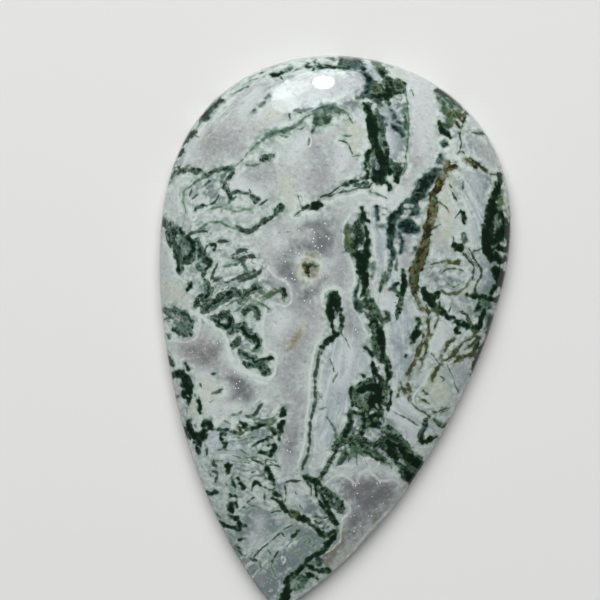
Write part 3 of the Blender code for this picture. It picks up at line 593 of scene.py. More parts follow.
# Thin lines of a lighter green
LEAF_LINES = {
    "upper": [[(311, 114.4, 1), (305, 117.6, 1.1), (299, 122.6, 1.4), (294, 128, 2), (287, 130, 1.9),
      (280, 131, 1.8), (272, 133, 1.9), (266, 136, 2), (261, 141, 1.5), (254.5, 146.6, 1.1), (248, 153, 1),
      (243, 159.6, 0.9), (236.5, 164, 0.9), (231, 167.6, 0.9)],
      [(296.4, 126, 0.9), (298.4, 129, 0.9), (304.4, 127.4, 0.8)],
      [(279.6, 134, 0.8), (283, 137.2, 1.2), (286.6, 137, 0.9)]],
    "triangle": [[(204, 177.4, 1.5), (198, 181, 1.5), (193, 184, 1.4), (189, 187, 1.4), (185, 191, 1.3),
      (183.6, 196, 1.2), (183.2, 202, 1.1), (184, 208, 0.9), (184.6, 212, 0.7)],
      [(241, 514, 0.8), (247, 508, 0.9), (254, 505, 0.9), (260, 509, 1)]],
    "dash": [[(208, 210.6, 1), (212, 208.4, 1.3), (218, 207, 1.2), (224, 205.6, 1), (229, 203.4, 0.8)],
      [(230, 208, 0.9), (234, 211.2, 1.2), (240, 211.4, 1.4), (246, 209.8, 1.3), (251, 209.2, 1.2)]],
    "lower": [[(189, 234.6, 1.4), (195, 232, 1.4), (203, 227, 1.6), (210, 223, 1.6), (218, 221, 1.6),
      (221, 223, 1.3), (227, 226.6, 1.1), (235, 228.6, 0.9)]],
    "fibre": [[(233, 94, 0.5), (241, 90, 0.8), (248, 86.5, 1)], [(249.5, 81, 0.6), (256, 79, 0.7)],
      [(327, 56, 1.6), (333.5, 60, 1)]],
    "lane": [[(404.4, 91, 0.9), (406.4, 99, 0.9), (407.8, 108, 0.9), (408.8, 118, 0.9), (408.8, 130, 0.9),
      (408, 141, 0.9), (406.6, 151, 0.9), (405.6, 160, 0.9), (406, 166, 1.2), (403, 174, 1)],
      [(412, 90.4, 0.8), (414, 93.4, 1.1)]],
    "plume": [[(225.3, 266.8, 1.2), (231, 265.4, 1.7), (236.4, 264.6, 1.8), (241, 261, 2.1),
      (243, 264, 2.1), (245.6, 268.6, 2), (250, 272.4, 1.7), (256, 272.6, 1.7)],
      [(236, 310.4, 1.2), (244, 303.8, 1.6), (251, 298, 1.6)],
      [(247, 307.6, 1), (255.2, 305, 1.3), (263.4, 305, 1.2), (268.8, 308.8, 1.2)],
      [(251, 292, 0.8), (258, 292, 1.2), (264, 294.6, 1.2), (268, 297, 1.3)],
      [(253, 302.4, 0.9), (260.7, 302, 1.2), (267.5, 299.4, 1)],
      [(227, 305, 1), (234, 302, 1.3), (240, 300, 1)]],
    "right": [[(318, 391, 0.8), (321, 396, 0.7)]],
    "cell": [[(321, 408, 1.6), (324, 407, 1.2)], [(327.5, 418, 1.1), (332.5, 427, 1.5), (338, 440, 2)]],
    "mesh": [[(410, 402, 1.3), (416, 407.5, 1.2), (424, 413.3, 1), (431, 417, 1), (438, 421.5, 1),
      (443.7, 425, 1.1)], [(404, 442, 1), (409, 448.5, 1.2)]],
    "fan": [[(384, 458, 1.2), (390, 464, 0.9), (392, 470, 0.7)],
      [(352, 446, 1), (350, 454, 1), (347.6, 461, 0.7)],
      [(356, 447, 1.2), (356.6, 455, 1.1), (356, 463, 0.7)],
      [(345, 449, 1.2), (341, 458, 1), (337, 466, 0.8)],
      [(360, 449, 0.9), (364, 456, 0.8), (367, 464, 0.6)], [(337, 374, 1.1), (334, 381, 1)],
      [(331, 360, 0.9), (334, 370, 1)]],
    "leaf": [[(247, 416, 1.3), (251.6, 416.8, 1.7), (255, 418.8, 1.8), (260, 419.2, 1.6), (264, 421.8, 1.6),
      (269, 420, 1.4), (273.4, 417.8, 1.4), (278, 414.8, 1.4)],
      [(232.6, 414.8, 1.7), (236.4, 414.4, 2), (239.6, 412.8, 1.8)], [(225, 422, 0.9), (229.4, 422.6, 0.8)],
      [(252, 437, 1), (253, 437.4, 0.9)]],
    "stub": [[(219, 449.8, 0.7), (230, 450.2, 0.7)]],
    "long": [[(233, 462, 0.5), (241, 463, 0.8), (249, 462.2, 0.8)]],
    "left": [[(202, 466, 0.9), (203, 467, 0.9)], [(211.4, 474, 1), (212, 474.6, 0.9)],
      [(226.8, 485, 1), (227.4, 485.6, 0.9)], [(210.6, 401.6, 1.3), (212, 401, 1)],
      [(175, 174.6, 1.1), (173.6, 178.6, 1.1), (170.6, 183, 0.9)]],
    "pen": [[(284, 529, 0.6), (286, 528, 0.7)],
      [(271.8, 561, 0.8), (271, 566, 0.7), (273, 571, 0.7), (275.4, 576, 0.6)],
      [(268.6, 550, 1), (269.6, 553.4, 1)], [(258, 556, 0.6), (259, 562, 0.6), (261, 567, 0.6)],
      [(261, 571, 0.8), (264, 572, 0.8)], [(312, 548.6, 0.8), (317.4, 543, 0.9)]],
    "lips": [[(449, 284, 0.7), (454, 286.6, 0.8), (458.6, 285, 0.7)]],
    "lobe": [[(167, 322, 0.8), (174, 322.6, 0.9), (180, 324.6, 0.8)]],
    "fork": [[(356, 393, 0.7), (357, 400, 0.8), (360, 406, 0.7)],
      [(361, 396, 0.8), (363, 404, 0.8), (367, 409, 0.8)]],
    "islet": [[(347, 136, 1.6), (350, 135.6, 1.2)],
      [(354, 155.6, 1.4), (357.6, 155.6, 1.2), (361.6, 156.6, 1)], [(344, 111.6, 1.4), (346.6, 114.6, 1.5)],
      [(350, 118.6, 1.1), (351.6, 122, 1.3)]],
    "below": [[(373.6, 192.6, 1.2), (378, 194, 1.2), (382, 195.4, 1), (385.4, 197, 0.8)],
      [(369.4, 191, 0.8), (370, 192.4, 0.8)]],
    "gap": [[(383.4, 209, 0.8), (385.4, 209.4, 0.9)], [(382.6, 215, 0.7), (386, 215.4, 0.8)]],
    "pocket": [[(398, 100, 0.9), (399, 100.6, 0.9)]],
    "stripe": [[(241, 449.6, 0.6), (245.4, 452.8, 0.9)],
      [(234, 440.8, 0.5), (246, 439, 0.5), (256, 436.6, 0.5)],
      [(234, 456, 0.5), (246, 458, 0.6), (258, 457, 0.5)],
      [(236, 469, 0.6), (246, 470.6, 0.6), (256, 469.4, 0.6)],
      [(250, 478, 0.7), (257, 475.6, 0.8), (264, 476, 0.8)], [(213, 461, 0.6), (221, 461.2, 0.7)]],
    "slab": [[(300, 541, 0.6), (306, 537.6, 0.8), (311, 541, 0.8), (308, 546, 0.6)],
      [(291, 554, 0.7), (296, 550.4, 0.8), (302, 552, 0.7), (299, 557, 0.6)]],
    "rim": [[(229, 538, 0.8), (230.6, 541, 0.9)], [(237, 556, 0.8), (241, 561, 0.9), (244, 566, 0.8)],
      [(199.4, 121, 0.9), (198, 126, 0.9), (195.4, 130, 0.9)], [(194, 136.2, 0.8), (197.6, 137, 0.7)]],
    "low": [[(216, 514, 0.8), (220, 517.6, 0.9)], [(220.6, 508.4, 1), (223, 508.8, 0.9)]],
    "drip": [[(309, 139, 0.8), (308, 143.6, 0.8)]],
    "lens": [[(243, 165.6, 0.8), (251, 165.6, 1.1), (258, 164, 0.8)]],
    "strand": [[(395, 412, 0.6), (407, 419, 0.9), (417, 425, 0.7)]],
    "tail": [[(341, 331, 0.9), (346, 338, 0.9), (350, 347, 0.8)]],
}

# Thin green-brown lines
OLIVE_LINES = {
    "brow": [[(432, 263.8, 1), (438, 262, 1.1), (444.7, 261, 1), (452.8, 260.3, 0.9), (461, 261.5, 1)],
      [(442.4, 272.5, 0.8), (446, 268.4, 0.9), (455, 268.4, 0.9), (463.3, 270, 0.8)]],
    "seam": [[(436, 315, 0.8), (437, 324, 0.8)],
      [(447.2, 364.6, 0.7), (452, 377, 0.8), (457.6, 391.3, 0.7)]],
    "brook": [[(432, 354, 0.7), (438, 362.3, 0.8)]],
    "cream": [[(434, 229, 0.8), (440, 225, 0.8)]],
    "loop": [[(443.6, 291.6, 1.5), (450, 294, 1.8), (459, 294, 1.7), (464.4, 289.3, 1.3), (470, 282.4, 1.1),
      (472.6, 274, 1)]],
    "twig": [[(440, 202, 1), (445, 206, 0.9), (448, 211, 0.7)]],
    "right": [[(440, 377, 0.7), (443, 379, 0.7), (441.4, 382, 0.6)]],
    "rust": [[(442, 408, 1), (446, 407, 1), (448, 411, 1), (443, 413, 0.8)],
      [(433, 412, 0.9), (439, 413, 1)]],
}

# Where the quartz is clear a long way down
QUARTZ = {
    "heart": [[(308, 222, 7), (320, 226, 10), (326, 238, 11), (316, 250, 12), (300, 250, 7)],
      [(292, 262, 8), (286, 272, 7), (298, 284, 8)], [(312, 288, 9), (303, 298, 6), (320, 280, 7)]],
    "left": [[(230, 378, 7), (240, 384, 12), (238, 396, 10), (250, 394, 7)],
      [(196, 350, 4), (206, 358, 5), (214, 350, 4)]],
    "druzy": [[(352, 492, 9), (366, 486, 9), (380, 492, 10), (366, 502, 13), (386, 492, 7)],
      [(356, 516, 9), (344, 530, 8)]],
    "tip": [[(280, 590, 5), (272, 580, 5)]],
    "low": [[(306, 547, 8), (298, 556, 8), (290, 564, 6)], [(292, 432, 3), (289, 452, 3)],
      [(262, 566, 7), (276, 556, 8)]],
    "tail": [[(348, 306, 3), (350, 322, 4), (352, 332, 3)]],
}

# Blue-grey chalcedony
BLUES = {
    "right": [[(476, 180, 7), (478, 198, 8), (479, 218, 7), (477, 236, 4)], [(485, 262, 3), (486, 276, 4)],
      [(458, 372, 7), (462, 384, 6)]],
    "crown": [[(388, 108, 7), (392, 124, 8), (390, 146, 8), (378, 66, 4)]],
    "gap": [[(378, 214, 5), (382, 236, 7), (383, 258, 6), (381, 282, 5)]],
    "fan": [[(352, 320, 8), (350, 345, 13), (342, 372, 14), (335, 402, 13), (328, 430, 10)]],
    "strand": [[(396, 300, 7), (402, 328, 10), (402, 356, 11), (402, 382, 8)],
      [(392, 402, 6), (404, 416, 8), (414, 432, 7)]],
    "low": [[(430, 426, 5)]],
    "cells": [[(404, 240, 3)]],
    "left": [[(215, 440, 8), (232, 452, 8)]],
    "fork": [[(366, 352, 5), (366, 366, 6), (364, 380, 5)]],
}

# Quartz that is a little misty
MISTS = {
    "upper": [[(196, 150, 8), (210, 146, 12), (228, 140, 13), (236, 152, 9)],
      [(186, 164, 5), (214, 162, 5)], [(252, 178, 7), (266, 174, 8), (262, 186, 4)],
      [(312, 140, 8), (318, 156, 9), (322, 172, 11), (316, 188, 8)]],
    "rim": [[(232, 112, 7), (246, 100, 8), (262, 88, 6)]],
    "window": [[(336, 156, 8), (346, 166, 6)]],
    "heart": [[(272, 226, 8), (284, 244, 8), (280, 262, 8), (290, 300, 10), (310, 312, 7)],
      [(336, 222, 7), (344, 250, 8), (340, 274, 8)]],
    "low": [[(304, 330, 8), (296, 356, 9), (286, 380, 9), (300, 400, 7)],
      [(296, 408, 6), (292, 430, 9), (289, 452, 8), (286, 472, 6)]],
    "left": [[(186, 346, 8), (200, 356, 10), (212, 366, 9), (204, 340, 6)]],
    "tail": [[(346, 304, 6), (350, 318, 6), (352, 332, 7), (356, 346, 5)]],
    "lane": [[(416, 66, 4), (424, 96, 5), (424, 132, 6), (419, 156, 5)],
      [(421, 148, 1), (413, 168, 2), (403, 184, 1)]],
    "right": [[(440, 238, 6), (446, 246, 5)], [(462, 311, 7)],
      [(474, 140, 4), (482, 150, 7), (490, 160, 6)]],
    "blue": [[(460, 369, 7), (466, 375, 5)]],
    "blot": [[(407, 244, 5), (403, 257, 4)]],
    "cells": [[(404, 256, 4), (410, 262, 6), (404, 266, 3)]],
    "quartz": [[(318, 166, 1), (325, 176, 2), (334, 184, 1)]],
    "under": [[(334, 88, 8), (346, 84, 9), (356, 84, 8)]],
    "second": [[(288, 348, 6), (298, 332, 8)]],
}

# Milky white stains
MILK = {
    "lane": [[(413, 72, 8), (420, 84, 11), (423, 100, 11), (424, 117, 11), (424, 137, 9), (420, 154, 5)],
      [(401, 192, 5), (390, 200, 6), (375, 203, 5)]],
    # Partly painted highlight: this milky patch lies under the window's reflection and brightens its left
    # part; the stone there is also cream-white
    "under": [[(284, 96, 9), (290, 102, 8)]],
    "heart": [[(279, 243, 8), (274, 232, 5)], [(284, 318, 8), (276, 330, 6)]],
    "cream": [[(262, 110, 9), (275, 112, 7)]],
    "shoulder": [[(350, 340, 6), (345, 360, 9), (340, 380, 8)]],
    "window": [[(343, 155, 9), (341, 168, 7)]],
    "strand": [[(391, 404, 5), (401, 416, 5), (412, 430, 4.5), (412, 443, 3)],
      [(402, 399, 4), (412, 409, 4), (421, 417, 3)]],
    "pocket": [[(294, 493, 8), (302, 500, 5)]],
    "left": [[(226, 408, 6), (238, 410, 5)], [(204, 376, 7), (206, 392, 8), (212, 408, 7)]],
    "halo": [[(340, 470, 4), (352, 465, 5), (366, 462, 5), (380, 467, 5), (393, 472, 4)]],
    "low": [[(256, 541, 7), (262, 520, 5)]],
    "crown": [[(388, 137, 4), (389, 150, 5)]],
    "right": [[(467, 202, 1.6), (469, 222, 1.6), (471, 238, 1.6)],
      [(440, 326, 6), (442, 340, 7), (438, 350, 6)]],
    "upper": [[(238, 112, 6), (248, 101, 8), (256, 94, 7)], [(240, 184, 6), (250, 190, 6), (261, 195, 5)],
      [(186, 146, 3), (192, 158, 5), (200, 130, 3)]],
    "trunk": [[(364, 118, 3), (366, 130, 3), (368, 142, 2.6)]],
    "below": [[(378, 188, 5), (390, 196, 5), (384, 204, 5)], [(306, 136, 5), (298, 146, 6), (292, 158, 6)]],
    "mint": [[(378, 290, 6), (388, 300, 7), (384, 308, 5)]],
    "plume": [[(229, 354, 3), (233, 366, 3), (243, 374, 3), (256, 382, 3)]],
}

# Warm cream stains
CREAM = {
    "knot": [[(288, 190, 5), (291, 203, 5), (286, 180, 4)]],
    "left": [[(167, 285, 6), (174, 290, 8), (184, 298, 5)], [(206, 385, 7), (215, 396, 5), (192, 410, 5)]],
    "islet": [[(354, 128, 6), (355, 138, 6), (356, 146, 4)]],
    "right": [[(447, 184, 6), (444, 200, 5), (447, 214, 8), (450, 228, 7), (441, 240, 4)],
      [(434, 388, 8), (442, 400, 8), (436, 372, 5)], [(450, 348, 3.4)], [(506, 194, 2.4), (508, 206, 2)],
      [(478, 285, 4), (466, 292, 3)], [(392, 76, 3), (402, 82, 2), (397, 74, 4)]],
    "vug": [[(298.6, 274, 1), (300, 277, 1)]],
    "second": [[(290, 346, 3), (296, 336, 5), (303, 327, 4)]],
    "crown": [[(265, 115, 4), (273, 112, 5), (281, 110, 4)]],
    "wedge": [[(289, 517, 2), (297, 521, 2.4), (306, 526, 2)]],
    "druzy": [[(352, 548, 5), (344, 556, 5), (334, 566, 4)]],
    "tip": [[(294, 586, 3), (292, 594, 3)]],
}


# Where fine pale threads and dark flecks fill the gaps between the moss's branches
THICKETS = {
    "crown": [[(340, 62, 8), (356, 68, 12), (376, 76, 14), (394, 86, 10)],
      [(392, 108, 9), (396, 125, 11), (396, 150, 10), (392, 170, 9)]],
    "upper": [[(190, 192, 12), (214, 194, 15), (238, 202, 10), (260, 204, 6)],
      [(180, 232, 8), (200, 232, 6), (222, 228, 5)]],
    "plume": [[(178, 242, 12), (196, 256, 16), (220, 264, 16), (244, 266, 12), (258, 270, 6)],
      [(196, 280, 14), (214, 292, 18), (240, 292, 14), (262, 294, 8), (280, 294, 5)],
      [(216, 318, 14), (240, 324, 12), (248, 340, 12), (250, 360, 11), (264, 366, 7)],
      [(357, 232, 9), (358, 246, 10), (366, 270, 9), (366, 296, 8), (378, 330, 8), (384, 362, 7)]],
    "left": [[(168, 312, 8), (180, 320, 12), (184, 332, 8)],
      [(178, 378, 12), (188, 394, 8), (196, 424, 12), (196, 446, 10)],
      [(218, 442, 10), (240, 430, 12), (264, 430, 13), (272, 450, 9)],
      [(216, 470, 14), (240, 472, 14), (262, 474, 12), (226, 500, 14), (256, 496, 12)],
      [(236, 522, 14), (256, 548, 14), (274, 570, 12), (246, 566, 8), (292, 534, 10)]],
    "between": [[(392, 270, 9), (400, 286, 9), (394, 306, 8)]],
    "band": [[(396, 214, 8), (408, 226, 11), (402, 246, 8)]],
    "right": [[(446, 96, 9), (450, 122, 12), (464, 136, 10), (468, 158, 9)],
      [(450, 190, 10), (464, 216, 11), (458, 240, 9), (478, 262, 9)],
      [(446, 264, 12), (462, 276, 14), (462, 300, 14), (450, 320, 13), (464, 340, 13), (446, 362, 12)],
      [(452, 386, 10), (436, 406, 10), (428, 430, 12), (414, 440, 8)],
      [(496, 200, 7), (494, 236, 11), (494, 266, 9), (488, 292, 9), (478, 316, 8)]],
    "fork": [
      [(366, 388, 13), (372, 412, 13), (352, 418, 7), (360, 436, 10), (388, 438, 12), (406, 460, 13)]],
    "fan": [[(340, 452, 8), (360, 458, 8), (384, 462, 6)]],
    "wedge": [[(318, 492, 9), (330, 512, 9), (322, 526, 8)]],
    "tip": [[(310, 562, 9), (292, 582, 7), (314, 574, 7)]],
}

# Where the stone is drawn out in fibres, which run along the stroke as far off as its width
FIBRES = {
    "rim left": [[(178, 168, 10), (194, 138, 12), (222, 104, 14), (262, 78, 14), (310, 62, 10)]],
    "gap": [[(376, 206, 10), (381, 240, 9), (384, 268, 10), (380, 300, 9)]],
    "fan below tail": [[(350, 318, 9), (348, 350, 14), (340, 385, 16), (334, 415, 14), (326, 445, 9)]],
    "blue milk": [[(398, 305, 8), (402, 335, 13), (403, 365, 12), (404, 392, 8)]],
    "right ground": [[(448, 170, 10), (466, 200, 13), (480, 230, 11), (484, 262, 8)]],
    "brook": [[(478, 322, 9), (458, 350, 15), (436, 376, 14), (420, 400, 9)]],
    "strands": [[(386, 392, 8), (400, 412, 11), (420, 426, 10), (440, 434, 8)]],
    "fan": [[(396, 452, 8), (372, 458, 10), (346, 462, 10), (326, 478, 6)]],
    "left leaf": [[(212, 440, 10), (240, 428, 14), (268, 426, 14), (284, 420, 8)]],
    "left shelf": [[(206, 470, 12), (236, 464, 12), (268, 468, 10)]],
    "left slab": [[(236, 590, 10), (254, 562, 16), (282, 536, 16), (310, 520, 8)]],
    "plume": [[(190, 300, 12), (214, 284, 14), (244, 272, 14), (262, 262, 8)]],
}

# Brown-grey quartz
WARMS = {
    "druzy": [[(352, 490, 9), (366, 488, 11), (384, 490, 10), (368, 502, 13), (354, 518, 10),
      (350, 536, 10), (340, 550, 7)]],
    "left": [[(186, 347, 8), (200, 352, 11), (214, 350, 8), (208, 362, 7)], [(176, 384, 4), (177, 390, 4)]],
    "upper": [[(205, 138, 9), (218, 143, 7)]],
    "hinge": [[(262, 476, 3), (265, 470, 2)]],
    "tip": [[(262, 580, 6)]],
    "lane": [[(421, 96, 5), (423, 130, 6), (417, 160, 5)]],
    "second": [[(291, 347, 4), (295, 339, 6), (301, 331, 5)]],
}

# Thin pale seams, kept as thin as they are drawn
PALE_LINES = {
    "druzy": [[(326, 484, 0.8), (333, 477, 1), (343, 475, 1.2), (350, 479.6, 1.3), (354.6, 484.6, 1.3),
      (357.6, 479, 1.2), (362, 472.4, 1.2), (369, 470.4, 1.2), (374, 475, 1.2), (379, 480, 1.3),
      (386, 481, 1.2), (394, 479, 1.1), (400, 486, 0.9)],
      [(417, 476, 0.8), (400, 498, 1), (376, 524, 1.2), (353, 551, 1.1), (334, 571, 0.8)]],
    "plume": [[(268, 266, 1), (275, 276, 1.2), (288, 284, 1.4), (291, 296, 1.3), (286, 306, 1.1),
      (276, 304, 1.1), (266, 308, 1.2), (264, 320, 1.2), (262, 334, 1), (266, 348, 1.1), (277, 354, 1.3),
      (276, 364, 1.3), (272, 378, 1.2), (258, 376, 1.2), (246, 370, 1.2), (236, 364, 1), (230, 350, 1.2),
      (224, 334, 1.4), (212, 326, 1.4), (198, 312, 1.3)], [(350, 214, 0.9), (344, 228, 1.3),
      (345, 244, 1.3), (350, 258, 1.2), (354, 274, 1.1), (352, 300, 1), (360, 318, 1), (368, 334, 0.9)]],
    "left": [[(165, 228, 1.2), (166, 240, 1.3), (174, 258, 1.2), (176, 274, 1.1), (186, 282, 0.9)],
      [(227, 345, 1.6), (230, 356, 1.8), (234, 366, 1.6), (243, 371, 1.4), (251, 376, 1.4), (258, 382, 1.3),
      (266, 383, 1)]],
    "lobe": [[(198, 310, 1.2), (200, 322, 1.3), (197, 336, 1.3), (186, 342, 1.1), (172, 340, 1)]],
    "tail": [[(322, 300, 1.3), (323, 292, 1.5), (332, 287, 1.5), (341, 291, 1.4), (343, 304, 1.2),
      (340, 318, 1), (344, 334, 0.9)]],
    "vein": [[(322, 330, 0.9), (318, 344, 1.1), (311, 364, 1.2), (309, 392, 1.1), (307, 418, 1),
      (304, 444, 1), (299, 462, 0.9)]],
    "fan": [[(340, 499, 0.9), (347, 505, 1), (351, 511, 1), (347, 516, 1), (341.6, 520, 0.9),
      (340.6, 529, 0.9), (341, 536, 0.8)]],
    "knot": [[(341, 536, 1), (338, 543, 1.1), (333, 548, 1), (327, 553, 0.8)]],
    "slab": [[(279.6, 560, 0.6), (282, 557.4, 0.7), (285, 560, 0.7), (282.4, 563, 0.7), (279.6, 560, 0.6)]],
    "maze": [[(315, 519, 0.5), (320, 520, 0.6), (326, 519.4, 0.5), (331, 521, 0.5)],
      [(317, 526, 0.5), (321, 526.4, 0.6), (326, 523.6, 0.5)]],
    "bubble": [[(189.8, 216.6, 0.7), (193, 213.4, 0.8), (196.2, 216.6, 0.7), (193, 219.8, 0.8),
      (189.8, 216.6, 0.7)]],
    "upper": [[(279, 136, 0.6), (282, 139.6, 0.7), (287, 140, 0.7), (289, 137, 0.5)]],
    "drip": [[(307, 146, 0.5), (305.6, 141, 0.7), (308.6, 136.6, 0.7), (311, 140, 0.7), (309.4, 146, 0.6)]],
    "lens": [[(258, 163, 0.7), (263, 155.6, 0.8), (270, 153, 0.9), (276.4, 155.6, 0.8)]],
}
# Walls of tiny yellow crystals, kept as thin as they are drawn
YELLOW_LINES = {
    "vug": [[(301, 262, 1), (304.4, 258.8, 1.1), (309.6, 258.6, 1.1), (315, 261, 1), (319, 264.6, 1.1),
      (321.4, 269, 1.2), (320.4, 273.6, 1.2), (317, 278, 1.3), (311, 279.8, 1.3), (304.6, 279.8, 1.4),
      (299, 277, 1.6), (298, 274, 1.6), (300, 270.8, 1.2), (300.6, 266.6, 1), (301, 262, 1)],
      [(310.6, 252.8, 0.7), (316, 251.8, 0.8), (320.4, 255, 0.8), (322.8, 260, 0.9), (322, 264, 0.8)]],
}


# Moss that lies deep, and is seen as a blue-grey shade
SHADES = {
    "low": [[(240, 534, 6)], [(232, 548, 7), (243, 562, 8), (254, 578, 9), (268, 594, 8)],
      [(247, 512, 5), (255, 509, 5)], [(292, 428, 4), (290, 446, 4)]],
    "left": [[(236, 468, 5), (250, 470, 6), (258, 468, 4)], [(232, 440, 6), (246, 441, 6), (258, 433, 4)],
      [(236, 452, 5), (246, 455, 4)], [(238, 492, 5)]],
    "plume": [[(205, 286, 6), (224, 288, 5)], [(247, 346, 5)]],
    "upper": [[(212, 190, 8), (224, 204, 6)]],
    "crown": [[(350, 60, 8), (366, 82, 7)], [(392, 112, 9), (396, 135, 9), (392, 158, 8)],
      [(384, 106, 7), (394, 116, 9), (399, 130, 9), (392, 144, 6)], [(362, 78, 5), (358, 88, 4)]],
    "blots": [[(404, 232, 9), (410, 216, 7)]],
    "fork": [[(362, 398, 9), (366, 424, 10), (388, 428, 8), (398, 446, 8)],
      [(350, 462, 6), (368, 462, 5), (384, 468, 5)]],
    "right": [[(496, 214, 7), (496, 244, 9), (492, 280, 9), (480, 312, 8)],
      [(486, 180, 4), (485, 194, 4.6)], [(436, 276, 6), (448, 278, 6)]],
    "pocket": [[(296, 492, 5), (304, 500, 7), (312, 510, 8), (322, 520, 8), (326, 527, 6)],
      [(306, 496, 5), (310, 508, 6)]],
    "tip": [[(312, 562, 7), (286, 592, 8)]],
    "hinge": [[(276, 482, 4), (279, 489, 5), (281, 495, 3)]],
    "slab": [
      [(298, 530, 10), (309, 541, 13), (300, 553, 14), (286, 561, 13), (274, 573, 12), (264, 586, 11)],
      [(318, 541, 6), (286, 578, 7), (276, 592, 8)], [(306, 545, 9), (296, 556, 9), (288, 568, 8)]],
    "blue": [[(403, 345, 6), (406, 362, 6)]],
    "druzy": [[(344, 486, 4), (354, 496, 4)], [(348, 530, 5), (336, 546, 6), (326, 560, 6)]],
    "under": [[(263, 284, 5), (252, 290, 4)], [(345, 104, 3), (356, 104, 4)]],
    "swirls": [[(258, 512, 6), (270, 518, 7), (262, 530, 8), (248, 526, 6)]],
}

# Brown-grey hollows among the crystals
HOLLOWS = {
    "vug": [[(305, 264, 3.4), (309, 268, 5.4), (314, 270, 5.6), (307, 274, 4)],
      [(309, 255, 2.4), (315, 256, 3), (320, 259, 2.2)], [(303, 281.6, 1.2), (308, 283.6, 1.4)]],
    "second": [[(291, 348, 2), (294, 341, 4), (299, 333, 3)]],
    "druzy": [[(364, 510, 1.6), (367, 513, 2)], [(374, 521, 3), (381, 514, 2.4)],
      [(344, 534, 3), (334, 552, 4), (328, 566, 3)]],
}

# The tables whose nearest distance alone is kept, by the attribute that keeps it
KINDS = {
    "moss": MOSS, "ink": INK, "leaf": LEAVES, "quartz": QUARTZ, "milk": MILK, "cream": CREAM,
    "thicket": THICKETS, "bush": BUSHES, "window": WINDOWS, "shade": SHADES, "hollow": HOLLOWS,
    "warm": WARMS, "mist": MISTS, "blue": BLUES, "gold": GOLDEN,
}
# The attribute green keeps the nearest of these
GREEN_KINDS = ("moss", "bush", "ink", "leaf", "olive", "line")


def colour(name, description, *screen_tones):
    """A colour property. The default is given as the 0 to 255 tones that a screen shows."""
    shares = [tone / 255 for tone in screen_tones]
    tones = [share / 12.92 if share <= 0.04 else ((share + 0.055) / 1.055) ** 2.4 for share in shares]
    return FloatVectorProperty(
        name=name, description=description, subtype="COLOR", size=3, min=0, max=1, default=tones)


def measure(name, description, default):
    """A property for a length, in metres."""
    return FloatProperty(
        name=name, description=description, default=default, subtype="DISTANCE", unit="LENGTH")


def wattage(name, description, default):
    """A property for a lamp's power."""
    return FloatProperty(name=name, description=description, default=default, unit="POWER")


class StoneCut(bpy.types.PropertyGroup):
    length: measure("Length", "From the round end to the tip", STONE_HIGH[1] - STONE_LOW[1])
    width: measure("Width", "Across the shoulders", STONE_HIGH[0] - STONE_LOW[0])
    thickness: measure("Thickness", "From the back to the crown", STONE_HIGH[2] - STONE_LOW[2])
    girdle: measure("Girdle", "Height of the wall round the stone", 1.8 * MM)
    wall_lean: measure("Wall lean", "How far the wall leans in from its foot to its top", 0.22 * MM)
    back_bevel: measure("Back bevel", "The small slope ground round the back", 0.45 * MM)
    edge_softness: measure("Edge softness", "How wide the polished edges are rounded", 0.07 * MM)
    columns: IntProperty(name="Columns", description="Mesh faces across the dome", default=214)
    rows: IntProperty(name="Rows", description="Mesh faces along the dome", default=340)
    back_columns: IntProperty(name="Back columns", description="Mesh faces across the back", default=84)
    back_rows: IntProperty(name="Back rows", description="Mesh faces along the back", default=134)


class AgateLook(bpy.types.PropertyGroup):
    ground: colour("Ground", "Pale chalcedony among the moss", 181, 191, 188)
    ground_deep: colour("Deep ground", "Chalcedony over moss that lies deep", 138, 152, 149)
    rim: colour("Rim", "The bright line where the chalcedony meets clear quartz", 207, 218, 212)
    quartz: colour("Quartz", "Clear quartz away from the moss", 176, 179, 178)
    quartz_deep: colour("Deep quartz", "Quartz that is clear a long way down", 104, 106, 109)
    warm: colour("Warm quartz", "Brown-grey quartz", 148, 146, 144)
    mist: colour("Mist", "Misty quartz", 153, 156, 157)
    blue: colour("Blue", "Blue-grey chalcedony", 161, 174, 179)
    milk: colour("Milk", "Milky white bands", 205, 211, 211)
    cream: colour("Cream", "Warm cream stains", 187, 193, 178)
    # The shade colour is also used for the painted shade towards the tip
    shade: colour("Shade", "Moss that lies deep under blue-grey chalcedony", 102, 117, 117)
    hollow: colour("Hollow", "Brown-grey hollows among the crystals", 122, 118, 98)
    film: colour("Film", "Thin green film round the moss", 150, 168, 157)
    leaf: colour("Leaf", "Mid green moss under a little quartz", 70, 96, 74)
    leaf_light: colour("Light leaf", "The lightest green in the moss", 118, 140, 118)
    leaf_cold: colour("Cold leaf", "Mid green moss on the stone's left", 88, 112, 102)
    moss: colour("Moss", "Dark green moss", 28, 46, 31)
    moss_cold: colour("Cold moss", "Dark moss on the stone's left", 35, 53, 43)
    moss_black: colour("Black moss", "The blackest green, in the thickest moss", 17, 31, 22)
    ink: colour("Ink", "Blue-black moss", 22, 34, 31)
    ink_light: colour("Light ink", "The edge of the blue-black moss", 60, 84, 78)
    olive: colour("Olive", "Iron-stained brown veins", 42, 41, 23)
    sage: colour("Sage", "Thin green-brown veins", 66, 74, 48)
    sage_light: colour("Light sage", "The pale side of the green-brown veins", 116, 124, 92)
    olive_light: colour("Light olive", "The edge of the brown veins", 110, 108, 68)
    bronze: colour("Bronze", "The yellow heart of the green domes", 98, 114, 68)
    yellow: colour("Yellow", "Walls of tiny yellow crystals round a hollow", 196, 194, 160)
    # Painted highlight: the colour of the glints painted into the quartz
    painted_glint: colour("Glint", "Crystal faces that shine inside the quartz", 240, 244, 246)
    polish_roughness: FloatProperty(
        name="Polish", description="Roughness of the polished dome", default=0.035)
    back_roughness: FloatProperty(name="Back", description="Roughness of the ground back", default=0.34)
    gloss: FloatProperty(name="Gloss", description="Strength of the reflections", default=0.3)
    refraction: FloatProperty(name="Refraction", description="Index of refraction of agate", default=1.54)


